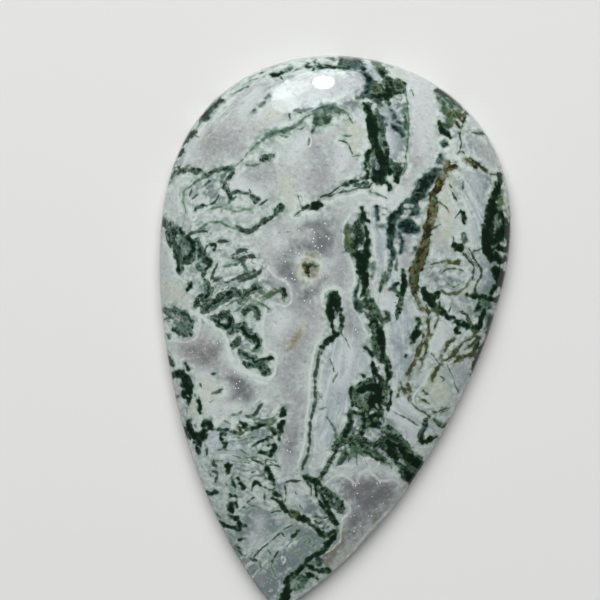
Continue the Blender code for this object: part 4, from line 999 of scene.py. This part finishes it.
class Studio(bpy.types.PropertyGroup):
    camera_height: measure("Camera height", "Height of the camera over the floor", 220 * MM)
    floor_size: measure("Floor size", "Side of the floor", 3.0)
    floor: colour("Floor", "The pale floor", 226, 226, 224)
    sky_power: wattage("Sky power", "Power of the large soft light", 10.4)
    window_power: wattage("Window power", "Power of the window that the dome reflects", 0.6)
    pane_power: wattage("Pane power", "Power of the brighter pane at the window's left", 0.08)
    bulb_power: wattage("Bulb power", "Power of the small bright light in the window", 0.12)


def pear_polynomial(t):
    return sum(factor * t**power for power, factor in enumerate(PEAR))


def pear_depth(t):
    """The half width squared at t, before it is scaled to the stone's width."""
    return (1 - t * t) * pear_polynomial(t)


SHOULDER_DEPTH = float(pear_depth(np.linspace(0, 1, 2000)).max())


def pear_from_square(across, along, cut, inset):
    """Rounds a square's point to a disc, and draws the disc out to the pear, inset from its outline."""
    t = along * math.sqrt(1 - across * across / 2)
    p = across * math.sqrt(1 - along * along / 2)
    scale = 1 - inset / (cut.width / 2)
    x = p * math.sqrt(pear_polynomial(t) / SHOULDER_DEPTH) * cut.width / 2 * scale
    return Vector((x, t * cut.length / 2 * scale, 0))


def dome_height(point, cut):
    """The dome's height over the girdle at a point, from how deep the point lies inside the outline."""
    scale = 1 - cut.wall_lean / (cut.width / 2)
    t = max(-1.0, min(1.0, point.y / (scale * cut.length / 2)))
    across = point.x / (scale * cut.width / 2)
    depth = max(0.0, pear_depth(t) / SHOULDER_DEPTH - across * across)
    start = DOME_START**DOME_POWER
    share = ((depth + DOME_START) ** DOME_POWER - start) / ((1 + DOME_START) ** DOME_POWER - start)
    return (cut.thickness - cut.girdle) * share


def pear_sheet(bm, columns, rows, cut, inset, height):
    """A grid drawn out to a pear at a height. Returns its outer edges."""
    made = bmesh.ops.create_grid(bm, x_segments=columns, y_segments=rows, size=1)["verts"]
    for vert in made:
        vert.co = pear_from_square(vert.co.x, vert.co.y, cut, inset)
        vert.co.z = height(vert.co)
    sheet = set(made)
    return [edge for edge in bm.edges if edge.verts[0] in sheet and edge.is_boundary]


def sink_ring(bm, edges, cut, inset_from, inset_to, height):
    """Extrudes a ring of edges to a new height, scaled from one inset of the outline to another."""
    made = bmesh.ops.extrude_edge_only(bm, edges=edges)["geom"]
    ratio = (1 - inset_to / (cut.width / 2)) / (1 - inset_from / (cut.width / 2))
    verts = [item for item in made if isinstance(item, bmesh.types.BMVert)]
    bmesh.ops.scale(bm, vec=(ratio, ratio, 1), verts=verts)
    for vert in verts:
        vert.co.z = height
    return [item for item in made if isinstance(item, bmesh.types.BMEdge)]


def cut_stone(cut):
    """The dome, the wall below it and the ground back, as one closed fine mesh."""
    bm = bmesh.new()
    dome_edge = pear_sheet(
        bm, cut.columns, cut.rows, cut, cut.wall_lean, lambda point: cut.girdle + dome_height(point, cut))
    wall_foot = sink_ring(bm, dome_edge, cut, cut.wall_lean, 0, cut.back_bevel)
    back_edge = sink_ring(bm, wall_foot, cut, 0, cut.back_bevel, 0)
    inner_edge = sink_ring(bm, back_edge, cut, cut.back_bevel, 2 * cut.back_bevel, 0)
    back_sheet = pear_sheet(bm, cut.back_columns, cut.back_rows, cut, 3 * cut.back_bevel, lambda point: 0)
    bmesh.ops.bridge_loops(bm, edges=inner_edge + back_sheet)
    bmesh.ops.bevel(
        bm, geom=wall_foot + back_edge, offset=cut.edge_softness, affect="EDGES", segments=2, profile=0.5,
        material=-1)
    bmesh.ops.recalc_face_normals(bm, faces=bm.faces)
    return bm


def seen_from_camera(points, cut, camera_height):
    """Where the photograph shows each point of the stone, in its pixels."""
    right = (points[:, 0] - AIM.x) * math.cos(TILT) + (points[:, 1] - AIM.y) * math.sin(TILT)
    up = (points[:, 1] - AIM.y) * math.cos(TILT) - (points[:, 0] - AIM.x) * math.sin(TILT)
    nearer = (camera_height - cut.girdle) / (camera_height - points[:, 2])
    scale = PIXELS_PER_MM / MM * nearer
    return PHOTO_MIDDLE + right * scale, PHOTO_MIDDLE - up * scale


def wander(points, wavelength, seed):
    """A smooth random push for each point, between -1 and 1 in x and y."""
    starts = (Vector((seed, seed * 2, seed * 3)), Vector((seed * 5, -seed, seed * 7)))
    places = [Vector(point) / wavelength for point in points]
    return np.array([[noise.noise(place + start) for start in starts] for place in places])


def smoothed(path, steps=3):
    """More points along a path, on a curve through the ones that were drawn."""
    if len(path) == 1:
        return np.array([path[0], path[0]], dtype=float)
    drawn = np.array([path[0], *path, path[-1]], dtype=float)
    share = np.linspace(0, 1, steps, endpoint=False)[:, None]
    runs = []
    for before, start, end, after in zip(drawn, drawn[1:], drawn[2:], drawn[3:]):
        bend = 2 * start - 2 * end + (end - before) / 2 + (after - start) / 2
        sway = -3 * start + 3 * end - (end - before) - (after - start) / 2
        runs.append(((bend * share + sway) * share + (end - before) / 2) * share + start)
    return np.vstack([*runs, drawn[-1:]])


def strokes(*tables):
    """Every stroke of the tables, in their order."""
    return [stroke for table in tables for place in table.values() for stroke in place]


def nearest_line(px, py, paths):
    """Measures each place from its nearest line: how far it is past the line's edge, its signed distance
    from the line's middle, the line's half width, how far along it is, and the line's number."""
    past = np.full(px.shape, FAR_OFF)
    side, half, along, which = (np.zeros(px.shape) for _ in range(4))
    for number, path in enumerate(paths):
        points = smoothed(path)
        travelled = 0.0
        for (x0, y0, r0), (x1, y1, r1) in zip(points, points[1:]):
            dx, dy = x1 - x0, y1 - y0
            share = np.clip(((px - x0) * dx + (py - y0) * dy) / (dx * dx + dy * dy + 1e-9), 0, 1)
            off_x, off_y = px - x0 - share * dx, py - y0 - share * dy
            distance = np.hypot(off_x, off_y)
            width = r0 + share * (r1 - r0)
            nearer = distance - width < past
            past[nearer] = (distance - width)[nearer]
            side[nearer] = np.copysign(distance, off_x * dy - off_y * dx)[nearer]
            half[nearer] = width[nearer]
            along[nearer] = (travelled + share * math.hypot(dx, dy))[nearer]
            which[nearer] = number
            travelled += math.hypot(dx, dy)
    return past, side, half, along, which


def mark_stone(mesh, cut, camera_height):
    """Measures the drawn markings from each point of the mesh, and keeps the results in mm."""
    points = np.empty(len(mesh.vertices) * 3)
    mesh.vertices.foreach_get("co", points)
    points = points.reshape(-1, 3)
    px, py = seen_from_camera(points, cut, camera_height)
    below_girdle = np.clip(1 - points[:, 2] / cut.girdle, 0, 1)[:, None]
    push = wander(points, LONG_WAVE, LONG_SEED) * (WANDER + WANDER_ON_WALL * below_girdle)
    push += wander(points, SHORT_WAVE, SHORT_SEED) * WANDER
    px += push[:, 0]
    py += push[:, 1]

    fields = {name: nearest_line(px, py, strokes(table))[0] for name, table in KINDS.items()}
    fields["olive"], fields["olive_side"], _, fields["olive_along"], which = nearest_line(
        px, py, strokes(OLIVE, SAGE))
    # Shares are 0 or 1 when all the fields have been divided by PIXELS_PER_MM
    fields["sage"] = (which >= len(strokes(OLIVE))) * PIXELS_PER_MM
    fields["fibre"], fields["fibre_side"], _, fields["fibre_along"], which = nearest_line(
        px, py, strokes(FIBRES))
    fields["fibre_along"] += which * FIBRE_SHIFT * PIXELS_PER_MM
    fields["line"], fields["line_side"], fields["line_half"], _, which = nearest_line(
        px, py, strokes(GREEN_LINES, LEAF_LINES, OLIVE_LINES))
    fields["line_leaf"] = (which >= len(strokes(GREEN_LINES))) * PIXELS_PER_MM
    fields["line_olive"] = (which >= len(strokes(GREEN_LINES, LEAF_LINES))) * PIXELS_PER_MM
    fields["seam"], fields["seam_side"], fields["seam_half"], _, which = nearest_line(
        px, py, strokes(PALE_LINES, YELLOW_LINES))
    fields["seam_yellow"] = (which >= len(strokes(PALE_LINES))) * PIXELS_PER_MM
    fields["green"] = np.minimum.reduce([fields[name] for name in GREEN_KINDS])
    for name, values in fields.items():
        attribute = mesh.attributes.new(name, "FLOAT", "POINT")
        attribute.data.foreach_set("value", (values / PIXELS_PER_MM).astype(np.float32))


class Nodes:
    """Short ways to add shader nodes. Every value that a method takes is a number, a colour or a socket."""

    def __init__(self, tree):
        self.tree = tree
        self.place = None

    def add(self, kind, **settings):
        node = self.tree.nodes.new(kind)
        for name, value in settings.items():
            setattr(node, name, value)
        return node

    def set(self, socket, value):
        if isinstance(value, bpy.types.NodeSocket):
            self.tree.links.new(value, socket)
        elif hasattr(value, "__len__") and len(value) == 3 and socket.type == "RGBA":
            socket.default_value = (*value, 1.0)
        else:
            socket.default_value = value

    def attribute(self, name):
        return self.add("ShaderNodeAttribute", attribute_name=name).outputs["Fac"]

    def math(self, operation, first, second=0.0, third=0.0):
        node = self.add("ShaderNodeMath", operation=operation)
        for socket, value in zip(node.inputs, (first, second, third)):
            self.set(socket, value)
        return node.outputs[0]

    def band(self, value, low, high, start=0.0, end=1.0):
        """Rises smoothly from start to end as the value goes from low to high."""
        node = self.add("ShaderNodeMapRange", interpolation_type="SMOOTHSTEP")
        names = ("Value", "From Min", "From Max", "To Min", "To Max")
        for name, setting in zip(names, (value, low, high, start, end)):
            self.set(node.inputs[name], setting)
        return node.outputs["Result"]

    def noise(self, scale, detail=2.0, roughness=0.5, distortion=0.0, place=None):
        """Fractal noise, mostly between -1 and 1, with about scale lumps a millimetre."""
        node = self.add("ShaderNodeTexNoise")
        self.set(node.inputs["Vector"], place or self.place)
        names = ("Scale", "Detail", "Roughness", "Distortion")
        for name, value in zip(names, (scale, detail, roughness, distortion)):
            self.set(node.inputs[name], value)
        return self.math("MULTIPLY_ADD", node.outputs["Fac"], 4.0, -2.0)

    def red(self, tone):
        """One channel of a random colour."""
        node = self.add("ShaderNodeSeparateColor")
        self.set(node.inputs[0], tone)
        return node.outputs[0]

    def mix(self, share, first, second):
        node = self.add("ShaderNodeMix", data_type="RGBA", clamp_factor=True)
        self.set(node.inputs["Factor"], share)
        self.set(node.inputs[6], first)
        self.set(node.inputs[7], second)
        return node.outputs[2]

    def total(self, *parts):
        """The sum of each factor times its socket or number."""
        result = 0.0
        for factor, socket in parts:
            result = self.math("MULTIPLY_ADD", socket, factor, result)
        return result

    def product(self, first, *rest):
        for value in rest:
            first = self.math("MULTIPLY", first, value)
        return first

    def thin_line(self, name, ragged, softness):
        """How far a place is past a thin line's edge, and how much the line covers it."""
        side = self.math("ABSOLUTE", self.attribute(name + "_side"))
        past = self.math("SUBTRACT", side, self.attribute(name + "_half"))
        past = self.math("ADD", past, ragged)
        cover = self.band(past, -softness, softness, 1.0, 0.0)
        return past, self.product(cover, self.band(self.attribute(name), *LINE_REACH, 1.0, 0.0))


def agate_ground(n, look):
    """The pale stone round the moss: film, chalcedony with threads, a bright rim, then clear quartz."""
    reach = n.total(
        (1, n.attribute("green")), (0.14, n.clump), (0.05, n.fray), (0.12, n.cloud), (0.06, n.streak))
    n.thicket = n.band(n.total((1, n.attribute("thicket")), (0.35, n.clump)), -0.4, 0.5, 1.0, 0.0)
    tone = n.total((0.5, n.cloud), (0.5, n.clump), (0.45, n.fray), (0.35, n.speck), (0.6, n.streak))
    ground = n.mix(n.band(tone, -0.9, 0.6), look.ground_deep, look.ground)

    clear = n.product(n.band(reach, 0.40, 0.75), n.band(n.thicket, 0.3, 1.0, 1.0, 0.0))
    tone = n.total((0.7, n.cloud), (0.3, n.clump), (0.2, n.fray))
    quartz = n.mix(n.band(tone, -0.5, 0.5), look.quartz, look.ground)
    ground = n.mix(clear, ground, quartz)
    shade = n.total((1, n.attribute("shade")), (0.5, n.clump), (0.3, n.fray), (0.3, n.streak))
    shade = n.band(shade, -0.7, 0.6, 0.9, 0.0)
    ground = n.mix(shade, ground, look.shade)
    # Painted shade towards the tip; the bright rim and threads are dimmed under it and under the deep moss
    ground = n.mix(n.dusk, ground, look.shade)
    lit = n.product(n.band(shade, 0.0, 0.9, 1.0, 0.15), n.band(n.dusk, 0.0, 0.3, 1.0, 0.6))
    film = n.product(n.band(reach, 0.0, 0.28, 0.7, 0.0), n.band(n.fray, -1.0, 0.8, 1.0, 0.4))
    ground = n.mix(film, ground, look.film)

    rim = n.product(n.band(reach, 0.24, 0.38), n.band(reach, 0.38, 0.68, 1.0, 0.0))
    rim = n.product(rim, n.band(n.thicket, 0.2, 1.0, 1.0, 0.2))
    rim = n.product(rim, n.band(n.total((0.7, n.cloud), (0.5, n.clump)), -0.6, 0.7, 0.15, 0.75))
    ground = n.mix(n.product(rim, lit), ground, look.rim)

    web = n.math("ABSOLUTE", n.noise(1.0, 2.5, 0.55, 0.9))
    thread = n.product(n.band(web, 0.03, 0.22, 1.0, 0.0), n.band(n.fray, -0.4, 0.3))
    thread = n.product(thread, n.band(n.thicket, 0.0, 0.6, 0.1, 0.4))
    ground = n.mix(n.product(thread, lit), ground, look.rim)
    web = n.math("ABSOLUTE", n.noise(1.9, 2.0, 0.5, 1.0))
    thread = n.product(n.band(web, 0.04, 0.3, 1.0, 0.0), n.band(reach, 0.5, 1.2, 0.5, 0.0))
    thread = n.product(thread, n.band(n.clump, -0.5, 0.4))
    ground = n.mix(n.product(thread, lit), ground, look.rim)
    return ground, reach


def agate_quartz(n, look, ground):
    """Stains and fibres, then the clear quartz with its sugary crystals, hollows and painted glints."""
    soft = n.total((0.3, n.clump), (0.15, n.fray), (0.35, n.streak))
    stains = (
        ("blue", look.blue, -0.9, 0.9, 0.65),
        ("mist", look.mist, -0.8, 0.8, 0.8),
        ("warm", look.warm, -0.7, 0.6, 0.7),
        ("milk", look.milk, -0.7, 0.6, 0.7),
        ("cream", look.cream, -0.6, 0.5, 0.75),
    )
    for name, tone, low, high, most in stains:
        # The stains are weaker in the painted shade towards the tip
        most = n.product(most, n.band(n.dusk, 0.0, 0.3, 1.0, 0.6))
        ground = n.mix(n.band(n.math("ADD", n.attribute(name), soft), low, high, most, 0.0), ground, tone)
    ground = n.mix(n.band(n.streak, 0.1, 0.6, 0.0, 0.55), ground, look.rim)
    ground = n.mix(n.band(n.streak, -0.7, -0.1, 0.45, 0.0), ground, look.ground_deep)
    sugar = n.noise(4.5, 3.0, 0.7)
    grains = n.total((1, sugar), (0.4, n.fray))
    ground = n.mix(n.band(grains, 0.1, 1.3, 0.0, 0.42), ground, look.rim)
    ground = n.mix(n.band(grains, -1.3, -0.1, 0.3, 0.0), ground, look.quartz_deep)
    grit = n.product(n.noise(2.7, 2.5, 0.6, 0.5), n.band(n.attribute("green"), 0.3, 1.1))
    ground = n.mix(n.band(grit, 0.1, 1.1, 0.0, 0.46), ground, look.rim)
    ground = n.mix(n.band(grit, -1.1, -0.1, 0.48, 0.0), ground, look.quartz_deep)
    deep = n.total((1, n.attribute("quartz")), (0.4, n.clump), (0.18, n.fray), (0.16, sugar))
    deep = n.product(n.band(deep, -1.1, 0.9, 1.0, 0.0), n.band(n.attribute("green"), 0.4, 1.5))
    ground = n.mix(n.product(deep, 0.9), ground, look.quartz_deep)
    ground = n.mix(n.product(n.band(sugar, 0.5, 1.2), n.band(deep, 0.1, 0.5), 0.4), ground, look.rim)
    hollow = n.total((1, n.attribute("hollow")), (0.16, n.fray), (0.1, sugar))
    ground = n.mix(n.band(hollow, -0.45, 0.3, 0.85, 0.0), ground, look.hollow)
    # Painted glints: a few crystals of a Voronoi pattern are coloured bright, as crystal faces catching the
    # light
    crystals = n.add("ShaderNodeTexVoronoi", feature="F1")
    n.set(crystals.inputs["Vector"], n.place)
    n.set(crystals.inputs["Scale"], CRYSTALS_PER_MM)
    spark = n.math("LESS_THAN", crystals.outputs["Distance"], GLINT_SIZE)
    chosen = n.math("GREATER_THAN", n.red(crystals.outputs["Color"]), GLINT_RARITY)
    return n.mix(n.product(spark, chosen, n.band(deep, 0.05, 0.35)), ground, look.painted_glint)


def moss_colour(n, look, tone):
    """Black-green to light leaf green, colder on the stone's left."""
    dark = n.mix(n.cold, look.moss, look.moss_cold)
    green = n.mix(n.band(tone, -0.7, -0.1), look.moss_black, dark)
    leaf = n.mix(n.cold, look.leaf, look.leaf_cold)
    green = n.mix(n.band(tone, 0.0, 0.6), green, leaf)
    return n.mix(n.band(tone, 0.6, 1.1), green, look.leaf_light)


def agate_moss(n, look, ground, reach):
    """The moss, from leaf green to ink, then brown veins, pale windows and the thin green lines."""
    mottle = n.noise(1.5, 1.0, 0.45, 0.7)
    ragged = n.total((0.10, n.clump), (0.08, n.fray), (0.03, n.speck), (0.06, n.streak))

    fleck = n.noise(1.9, 0.8, 0.4, 0.8)
    fleck = n.total((0.6, fleck), (0.75, n.streak))
    fleck = n.product(n.band(fleck, 0.5, 0.9), n.thicket, n.band(reach, 0.15, 0.9, 0.85, 0.3))
    ground = n.mix(fleck, ground, moss_colour(n, look, n.total((0.6, mottle), (0.4, n.fray), (1, 0.25))))

    leaf = n.math("ADD", n.attribute("leaf"), ragged)
    leaf_share = n.product(n.band(leaf, -0.14, 0.20, 1.0, 0.0), n.band(mottle, 0.1, 1.1, 0.95, 0.45))
    leaf_tone = moss_colour(n, look, n.total((0.5, mottle), (0.25, n.speck), (0.3, n.streak), (1, 0.4)))
    ground = n.mix(leaf_share, ground, leaf_tone)

    bush = n.math("ADD", n.attribute("bush"), ragged)
    depth = n.band(bush, -0.7, 0.05, -0.6, 0.3)
    tone = n.total((0.45, n.speck), (0.45, mottle), (0.35, n.streak), (1, depth))
    holes = n.total((1, n.speck), (0.5, n.streak))
    bush_share = n.product(n.band(bush, *MOSS_EDGE, 1.0, 0.0), n.band(holes, 1.0, 1.4, 1.0, 0.25))
    ground = n.mix(bush_share, ground, moss_colour(n, look, tone))
    gold = n.total((1, n.attribute("gold")), (0.25, n.clump), (0.2, n.speck))
    gold = n.band(gold, -0.35, 0.3, 1.0, 0.0)
    gold = n.product(gold, n.band(n.total((0.8, n.speck), (0.5, n.fray)), -0.8, 0.8, 0.75, 0.0))
    ground = n.mix(gold, ground, look.bronze)

    moss = n.math("ADD", n.attribute("moss"), ragged)
    uneven = n.band(n.total((1, mottle), (0.5, n.cloud)), -0.5, 0.9, 1.0, 0.2)
    veil = n.product(n.band(moss, -0.05, 0.24, 0.6, 0.0), uneven)
    ground = n.mix(veil, ground, moss_colour(n, look, n.total((0.35, mottle), (0.2, n.fray), (1, 0.85))))
    depth = n.band(moss, -0.34, 0.08, -0.75, 0.45)
    tone = n.total((0.45, mottle), (0.15, n.fray), (0.25, n.speck), (0.3, n.streak), (1, depth))
    moss_share = n.product(n.band(moss, *MOSS_EDGE, 1.0, 0.0), n.band(tone, 0.75, 1.15, 1.0, 0.35))
    ground = n.mix(moss_share, ground, moss_colour(n, look, tone))
    web = n.math("ABSOLUTE", n.noise(2.2, 1.5, 0.5, 0.8))
    lace = n.product(n.band(web, 0.05, 0.3, 1.0, 0.0), n.band(bush, -0.6, -0.02, 0.0, 0.3))
    lace = n.product(lace, n.band(bush, 0.0, 0.15, 1.0, 0.0), n.band(moss, -0.2, 0.1))
    ground = n.mix(lace, ground, look.film)

    ink = n.math("ADD", n.attribute("ink"), ragged)
    ink_share = n.product(n.band(ink, *INK_EDGE, 1.0, 0.0), n.band(mottle, 0.5, 1.2, 1.0, 0.7))
    tone = n.total((0.3, mottle), (0.25, n.streak), (0.2, n.speck), (1, ink))
    inky = n.mix(n.band(tone, -0.5, 0.1), look.ink, look.ink_light)
    tone = n.total((0.3, mottle), (0.2, n.speck), (1, ink))
    inky = n.mix(n.band(tone, -0.5, -0.1, 0.7, 0.0), inky, look.moss_black)
    ground = n.mix(ink_share, ground, inky)

    drawn = n.add("ShaderNodeCombineXYZ")
    n.set(drawn.inputs["X"], n.math("MULTIPLY", n.attribute("olive_along"), OLIVE_DRAWN_OUT))
    n.set(drawn.inputs["Y"], n.attribute("olive_side"))
    grain = n.noise(3.2, 1.0, 0.5, 0.4, place=drawn.outputs[0])
    olive = n.total((1, n.attribute("olive")), (1, ragged), (0.04, grain))
    tone = n.total((0.5, grain), (0.4, mottle), (0.6, n.speck))
    rusty = n.mix(n.band(tone, -0.5, 0.8), look.olive, look.olive_light)
    rusty = n.mix(n.band(n.total((1, n.clump), (0.5, n.speck)), 0.0, 0.8, 0.0, 0.7), rusty, look.leaf)
    tone = n.total((0.5, grain), (0.4, n.clump), (0.5, n.speck))
    sage = n.mix(n.band(tone, -0.3, 0.9), look.sage, look.sage_light)
    rusty = n.mix(n.attribute("sage"), rusty, sage)
    olive_share = n.product(n.band(olive, *OLIVE_EDGE, 1.0, 0.0), n.band(mottle, 0.2, 0.9, 1.0, 0.45))
    ground = n.mix(n.band(olive, 0.0, 0.3, 0.4, 0.0), ground, look.sage_light)
    ground = n.mix(olive_share, ground, rusty)

    window = n.total((1, n.attribute("window")), (0.8, ragged), (0.05, n.speck))
    pale = n.mix(n.band(n.total((0.7, mottle), (0.5, n.speck)), -0.7, 0.7), look.shade, look.ground)
    ground = n.mix(n.band(window, -0.12, 0.08, 0.9, 0.0), ground, pale)

    past, share = n.thin_line("line", n.total((0.04, n.clump), (0.03, n.fray)), 0.08)
    share = n.product(share, n.band(n.total((0.6, n.clump), (0.5, n.fray)), 0.1, 0.9, 0.9, 0.45))
    tone = n.total((0.35, n.cloud), (0.3, n.fray), (2.0, past), (0.7, n.attribute("line_leaf")), (1, 0.2))
    green = moss_colour(n, look, tone)
    return n.mix(share, ground, n.mix(n.attribute("line_olive"), green, sage))


def agate_material(look):
    """Polished agate. Its noises and its fibres are made first, because every layer uses them."""
    material = bpy.data.materials.new("tree_agate")
    material.use_nodes = True
    n = Nodes(material.node_tree)
    mapping = n.add("ShaderNodeMapping", vector_type="POINT")
    n.set(mapping.inputs["Vector"], n.add("ShaderNodeTexCoord").outputs["Object"])
    mapping.inputs["Scale"].default_value = (1 / MM, 1 / MM, 1 / MM)
    n.place = mapping.outputs["Vector"]
    n.cloud = n.noise(0.32, 3.0)
    n.clump = n.noise(1.2, 1.0, 0.4)
    n.fray = n.noise(2.6, 0.6, 0.4)
    n.grain = n.noise(8.5, 1.0)
    n.speck = n.noise(2.4, 1.0, 0.45, 0.6)
    sides = n.add("ShaderNodeSeparateXYZ")
    n.set(sides.inputs[0], n.place)
    # Painted shade: darker towards the tip, by the place along the stone
    n.dusk = n.band(sides.outputs["Y"], TIP_SHADE_FROM, TIP_SHADE_TO, 0.45, 0.0)
    n.cold = n.band(n.total((-0.07, sides.outputs["X"]), (0.5, n.cloud), (0.3, n.clump)), -0.6, 0.8)
    drawn = n.add("ShaderNodeCombineXYZ")
    n.set(drawn.inputs["X"], n.math("MULTIPLY", n.attribute("fibre_along"), STREAK_DRAWN_OUT))
    n.set(drawn.inputs["Y"], n.attribute("fibre_side"))
    streak = n.noise(2.2, 2.0, 0.5, 0.3, place=drawn.outputs[0])
    n.streak = n.product(streak, n.band(n.attribute("fibre"), *STREAK_REACH, 1.0, 0.0))

    ground, reach = agate_ground(n, look)
    ground = agate_quartz(n, look, ground)
    _, seam = n.thin_line("seam", n.total((0.05, n.clump), (0.04, n.fray)), 0.09)
    seam = n.product(seam, n.band(n.total((0.6, n.clump), (0.5, n.fray)), -0.9, 0.5, 0.9, 0.35))
    ground = n.mix(seam, ground, n.mix(n.attribute("seam_yellow"), look.rim, look.yellow))
    ground = agate_moss(n, look, ground, reach)

    shader = material.node_tree.nodes["Principled BSDF"]
    n.set(shader.inputs["Base Color"], ground)
    shader.inputs["IOR"].default_value = look.refraction
    shader.inputs["Specular IOR Level"].default_value = look.gloss
    polish = n.band(sides.outputs["Z"], 0.1, 0.6, look.back_roughness, look.polish_roughness)
    n.set(shader.inputs["Roughness"], n.math("MULTIPLY_ADD", n.grain, 0.01, polish))
    material.diffuse_color = (*look.ground, 1.0)
    return material


def floor_material(studio):
    material = bpy.data.materials.new("pale_floor")
    material.use_nodes = True
    n = Nodes(material.node_tree)
    n.place = n.add("ShaderNodeTexCoord").outputs["Object"]
    soft = n.noise(3.0, 2.0)
    shader = material.node_tree.nodes["Principled BSDF"]
    uneven = n.mix(n.band(soft, -1.0, 1.0, 0.0, 0.06), studio.floor, FLOOR_MOTTLE)
    n.set(shader.inputs["Base Color"], uneven)
    shader.inputs["Roughness"].default_value = FLOOR_ROUGHNESS
    return material


class CutCabochon(bpy.types.Operator):
    """Cuts the stone, measures its markings and polishes it"""

    bl_idname = "agate.cut_cabochon"
    bl_label = "Cut cabochon"

    def execute(self, context):
        cut, look, studio = context.scene.agate_cut, context.scene.agate_look, context.scene.agate_studio
        bm = cut_stone(cut)
        mesh = bpy.data.meshes.new("cabochon_surface")
        bm.to_mesh(mesh)
        bm.free()
        mesh.shade_smooth()
        mark_stone(mesh, cut, studio.camera_height)
        mesh.materials.append(agate_material(look))
        stone = bpy.data.objects.new("cabochon_surface", mesh)
        context.scene.collection.objects.link(stone)
        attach(stone, "root")
        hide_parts("cabochon")
        return {"FINISHED"}


def towards_lamp(turn, rise):
    """From the highlight to a lamp, by its compass turn from +X and its rise over the floor."""
    flat = math.cos(rise)
    return Vector((flat * math.cos(turn), flat * math.sin(turn), math.sin(rise))) * LAMP_DISTANCE


def add_light(scene, name, shape, size, power, place, aim, roll=0.0, mirrored=True, tint=(1, 1, 1)):
    """A lamp that either lights the scene or is only mirrored in it."""
    light = bpy.data.lights.new(name, "AREA")
    light.shape = shape
    light.size, light.size_y = size
    light.energy = power
    light.color = tint
    lamp = bpy.data.objects.new(name, light)
    lamp.location = place
    lamp.rotation_euler = ((aim - place).to_track_quat("-Z", "Y") @ Quaternion((0, 0, 1), roll)).to_euler()
    lamp.visible_glossy = mirrored
    lamp.visible_diffuse = not mirrored
    scene.collection.objects.link(lamp)


class SetStudio(bpy.types.Operator):
    """Lays the floor, hangs the lights and sets the camera straight over the stone"""

    bl_idname = "agate.set_studio"
    bl_label = "Set studio"

    def execute(self, context):
        scene, cut, studio = context.scene, context.scene.agate_cut, context.scene.agate_studio
        bm = bmesh.new()
        bmesh.ops.create_grid(bm, x_segments=4, y_segments=4, size=studio.floor_size / 2)
        mesh = bpy.data.meshes.new("floor")
        bm.to_mesh(mesh)
        bm.free()
        mesh.materials.append(floor_material(studio))
        floor = bpy.data.objects.new("floor", mesh)
        scene.collection.objects.link(floor)

        world = bpy.data.worlds.new("studio")
        world.use_nodes = True
        background = world.node_tree.nodes["Background"]
        background.inputs["Color"].default_value = WORLD_COLOUR
        background.inputs["Strength"].default_value = WORLD_STRENGTH
        scene.world = world

        shine = Vector(HIGHLIGHT) * MM
        window = shine + towards_lamp(WINDOW_TURN, WINDOW_RISE)
        pane = shine + towards_lamp(PANE_TURN, PANE_RISE) * PANE_NEARER
        bulb = shine + towards_lamp(BULB_TURN, BULB_RISE) * BULB_NEARER
        add_light(scene, "sky", "SQUARE", SKY_SIZE, studio.sky_power, SKY_PLACE, Vector(), mirrored=False)
        add_light(
            scene, "window", "ELLIPSE", WINDOW_SIZE, studio.window_power, window, shine, WINDOW_ROLL,
            tint=DAYLIGHT)
        add_light(scene, "pane", "DISK", PANE_SIZE, studio.pane_power, pane, shine, tint=DAYLIGHT)
        add_light(scene, "bulb", "ELLIPSE", BULB_SIZE, studio.bulb_power, bulb, shine)

        camera = bpy.data.objects.new("camera", bpy.data.cameras.new("camera"))
        camera.location = AIM + Vector((0, 0, studio.camera_height))
        camera.rotation_euler = (0, 0, TILT)
        camera.data.sensor_width = SENSOR_WIDTH
        reach = studio.camera_height - cut.girdle
        camera.data.lens = camera.data.sensor_width * reach / (2 * PHOTO_MIDDLE / PIXELS_PER_MM * MM)
        camera.data.clip_start = NEAREST_SEEN
        scene.collection.objects.link(camera)
        scene.camera = camera
        scene.view_settings.view_transform = "Standard"
        scene.view_settings.look = "None"
        return {"FINISHED"}


class AgatePanel(bpy.types.Panel):
    """The cabochon's sizes and colours, and the studio's"""

    bl_idname = "AGATE_PT_cabochon"
    bl_label = "Tree agate cabochon"
    bl_space_type = "VIEW_3D"
    bl_region_type = "UI"
    bl_category = "Agate"

    def draw(self, context):
        groups = ((CutCabochon, "agate_cut"), (None, "agate_look"), (SetStudio, "agate_studio"))
        for operator, group in groups:
            box = self.layout.box()
            if operator:
                box.operator(operator.bl_idname)
            settings = getattr(context.scene, group)
            for name in settings.__annotations__:
                box.prop(settings, name)


CLASSES = (StoneCut, AgateLook, Studio, CutCabochon, SetStudio, AgatePanel)


def register():
    for kind in CLASSES:
        bpy.utils.register_class(kind)
    bpy.types.Scene.agate_cut = PointerProperty(type=StoneCut)
    bpy.types.Scene.agate_look = PointerProperty(type=AgateLook)
    bpy.types.Scene.agate_studio = PointerProperty(type=Studio)


def unregister():
    del bpy.types.Scene.agate_cut
    del bpy.types.Scene.agate_look
    del bpy.types.Scene.agate_studio
    for kind in reversed(CLASSES):
        bpy.utils.unregister_class(kind)


def main():
    register()
    bpy.ops.agate.cut_cabochon()
    bpy.ops.agate.set_studio()


if __name__ == "__main__":
    main()
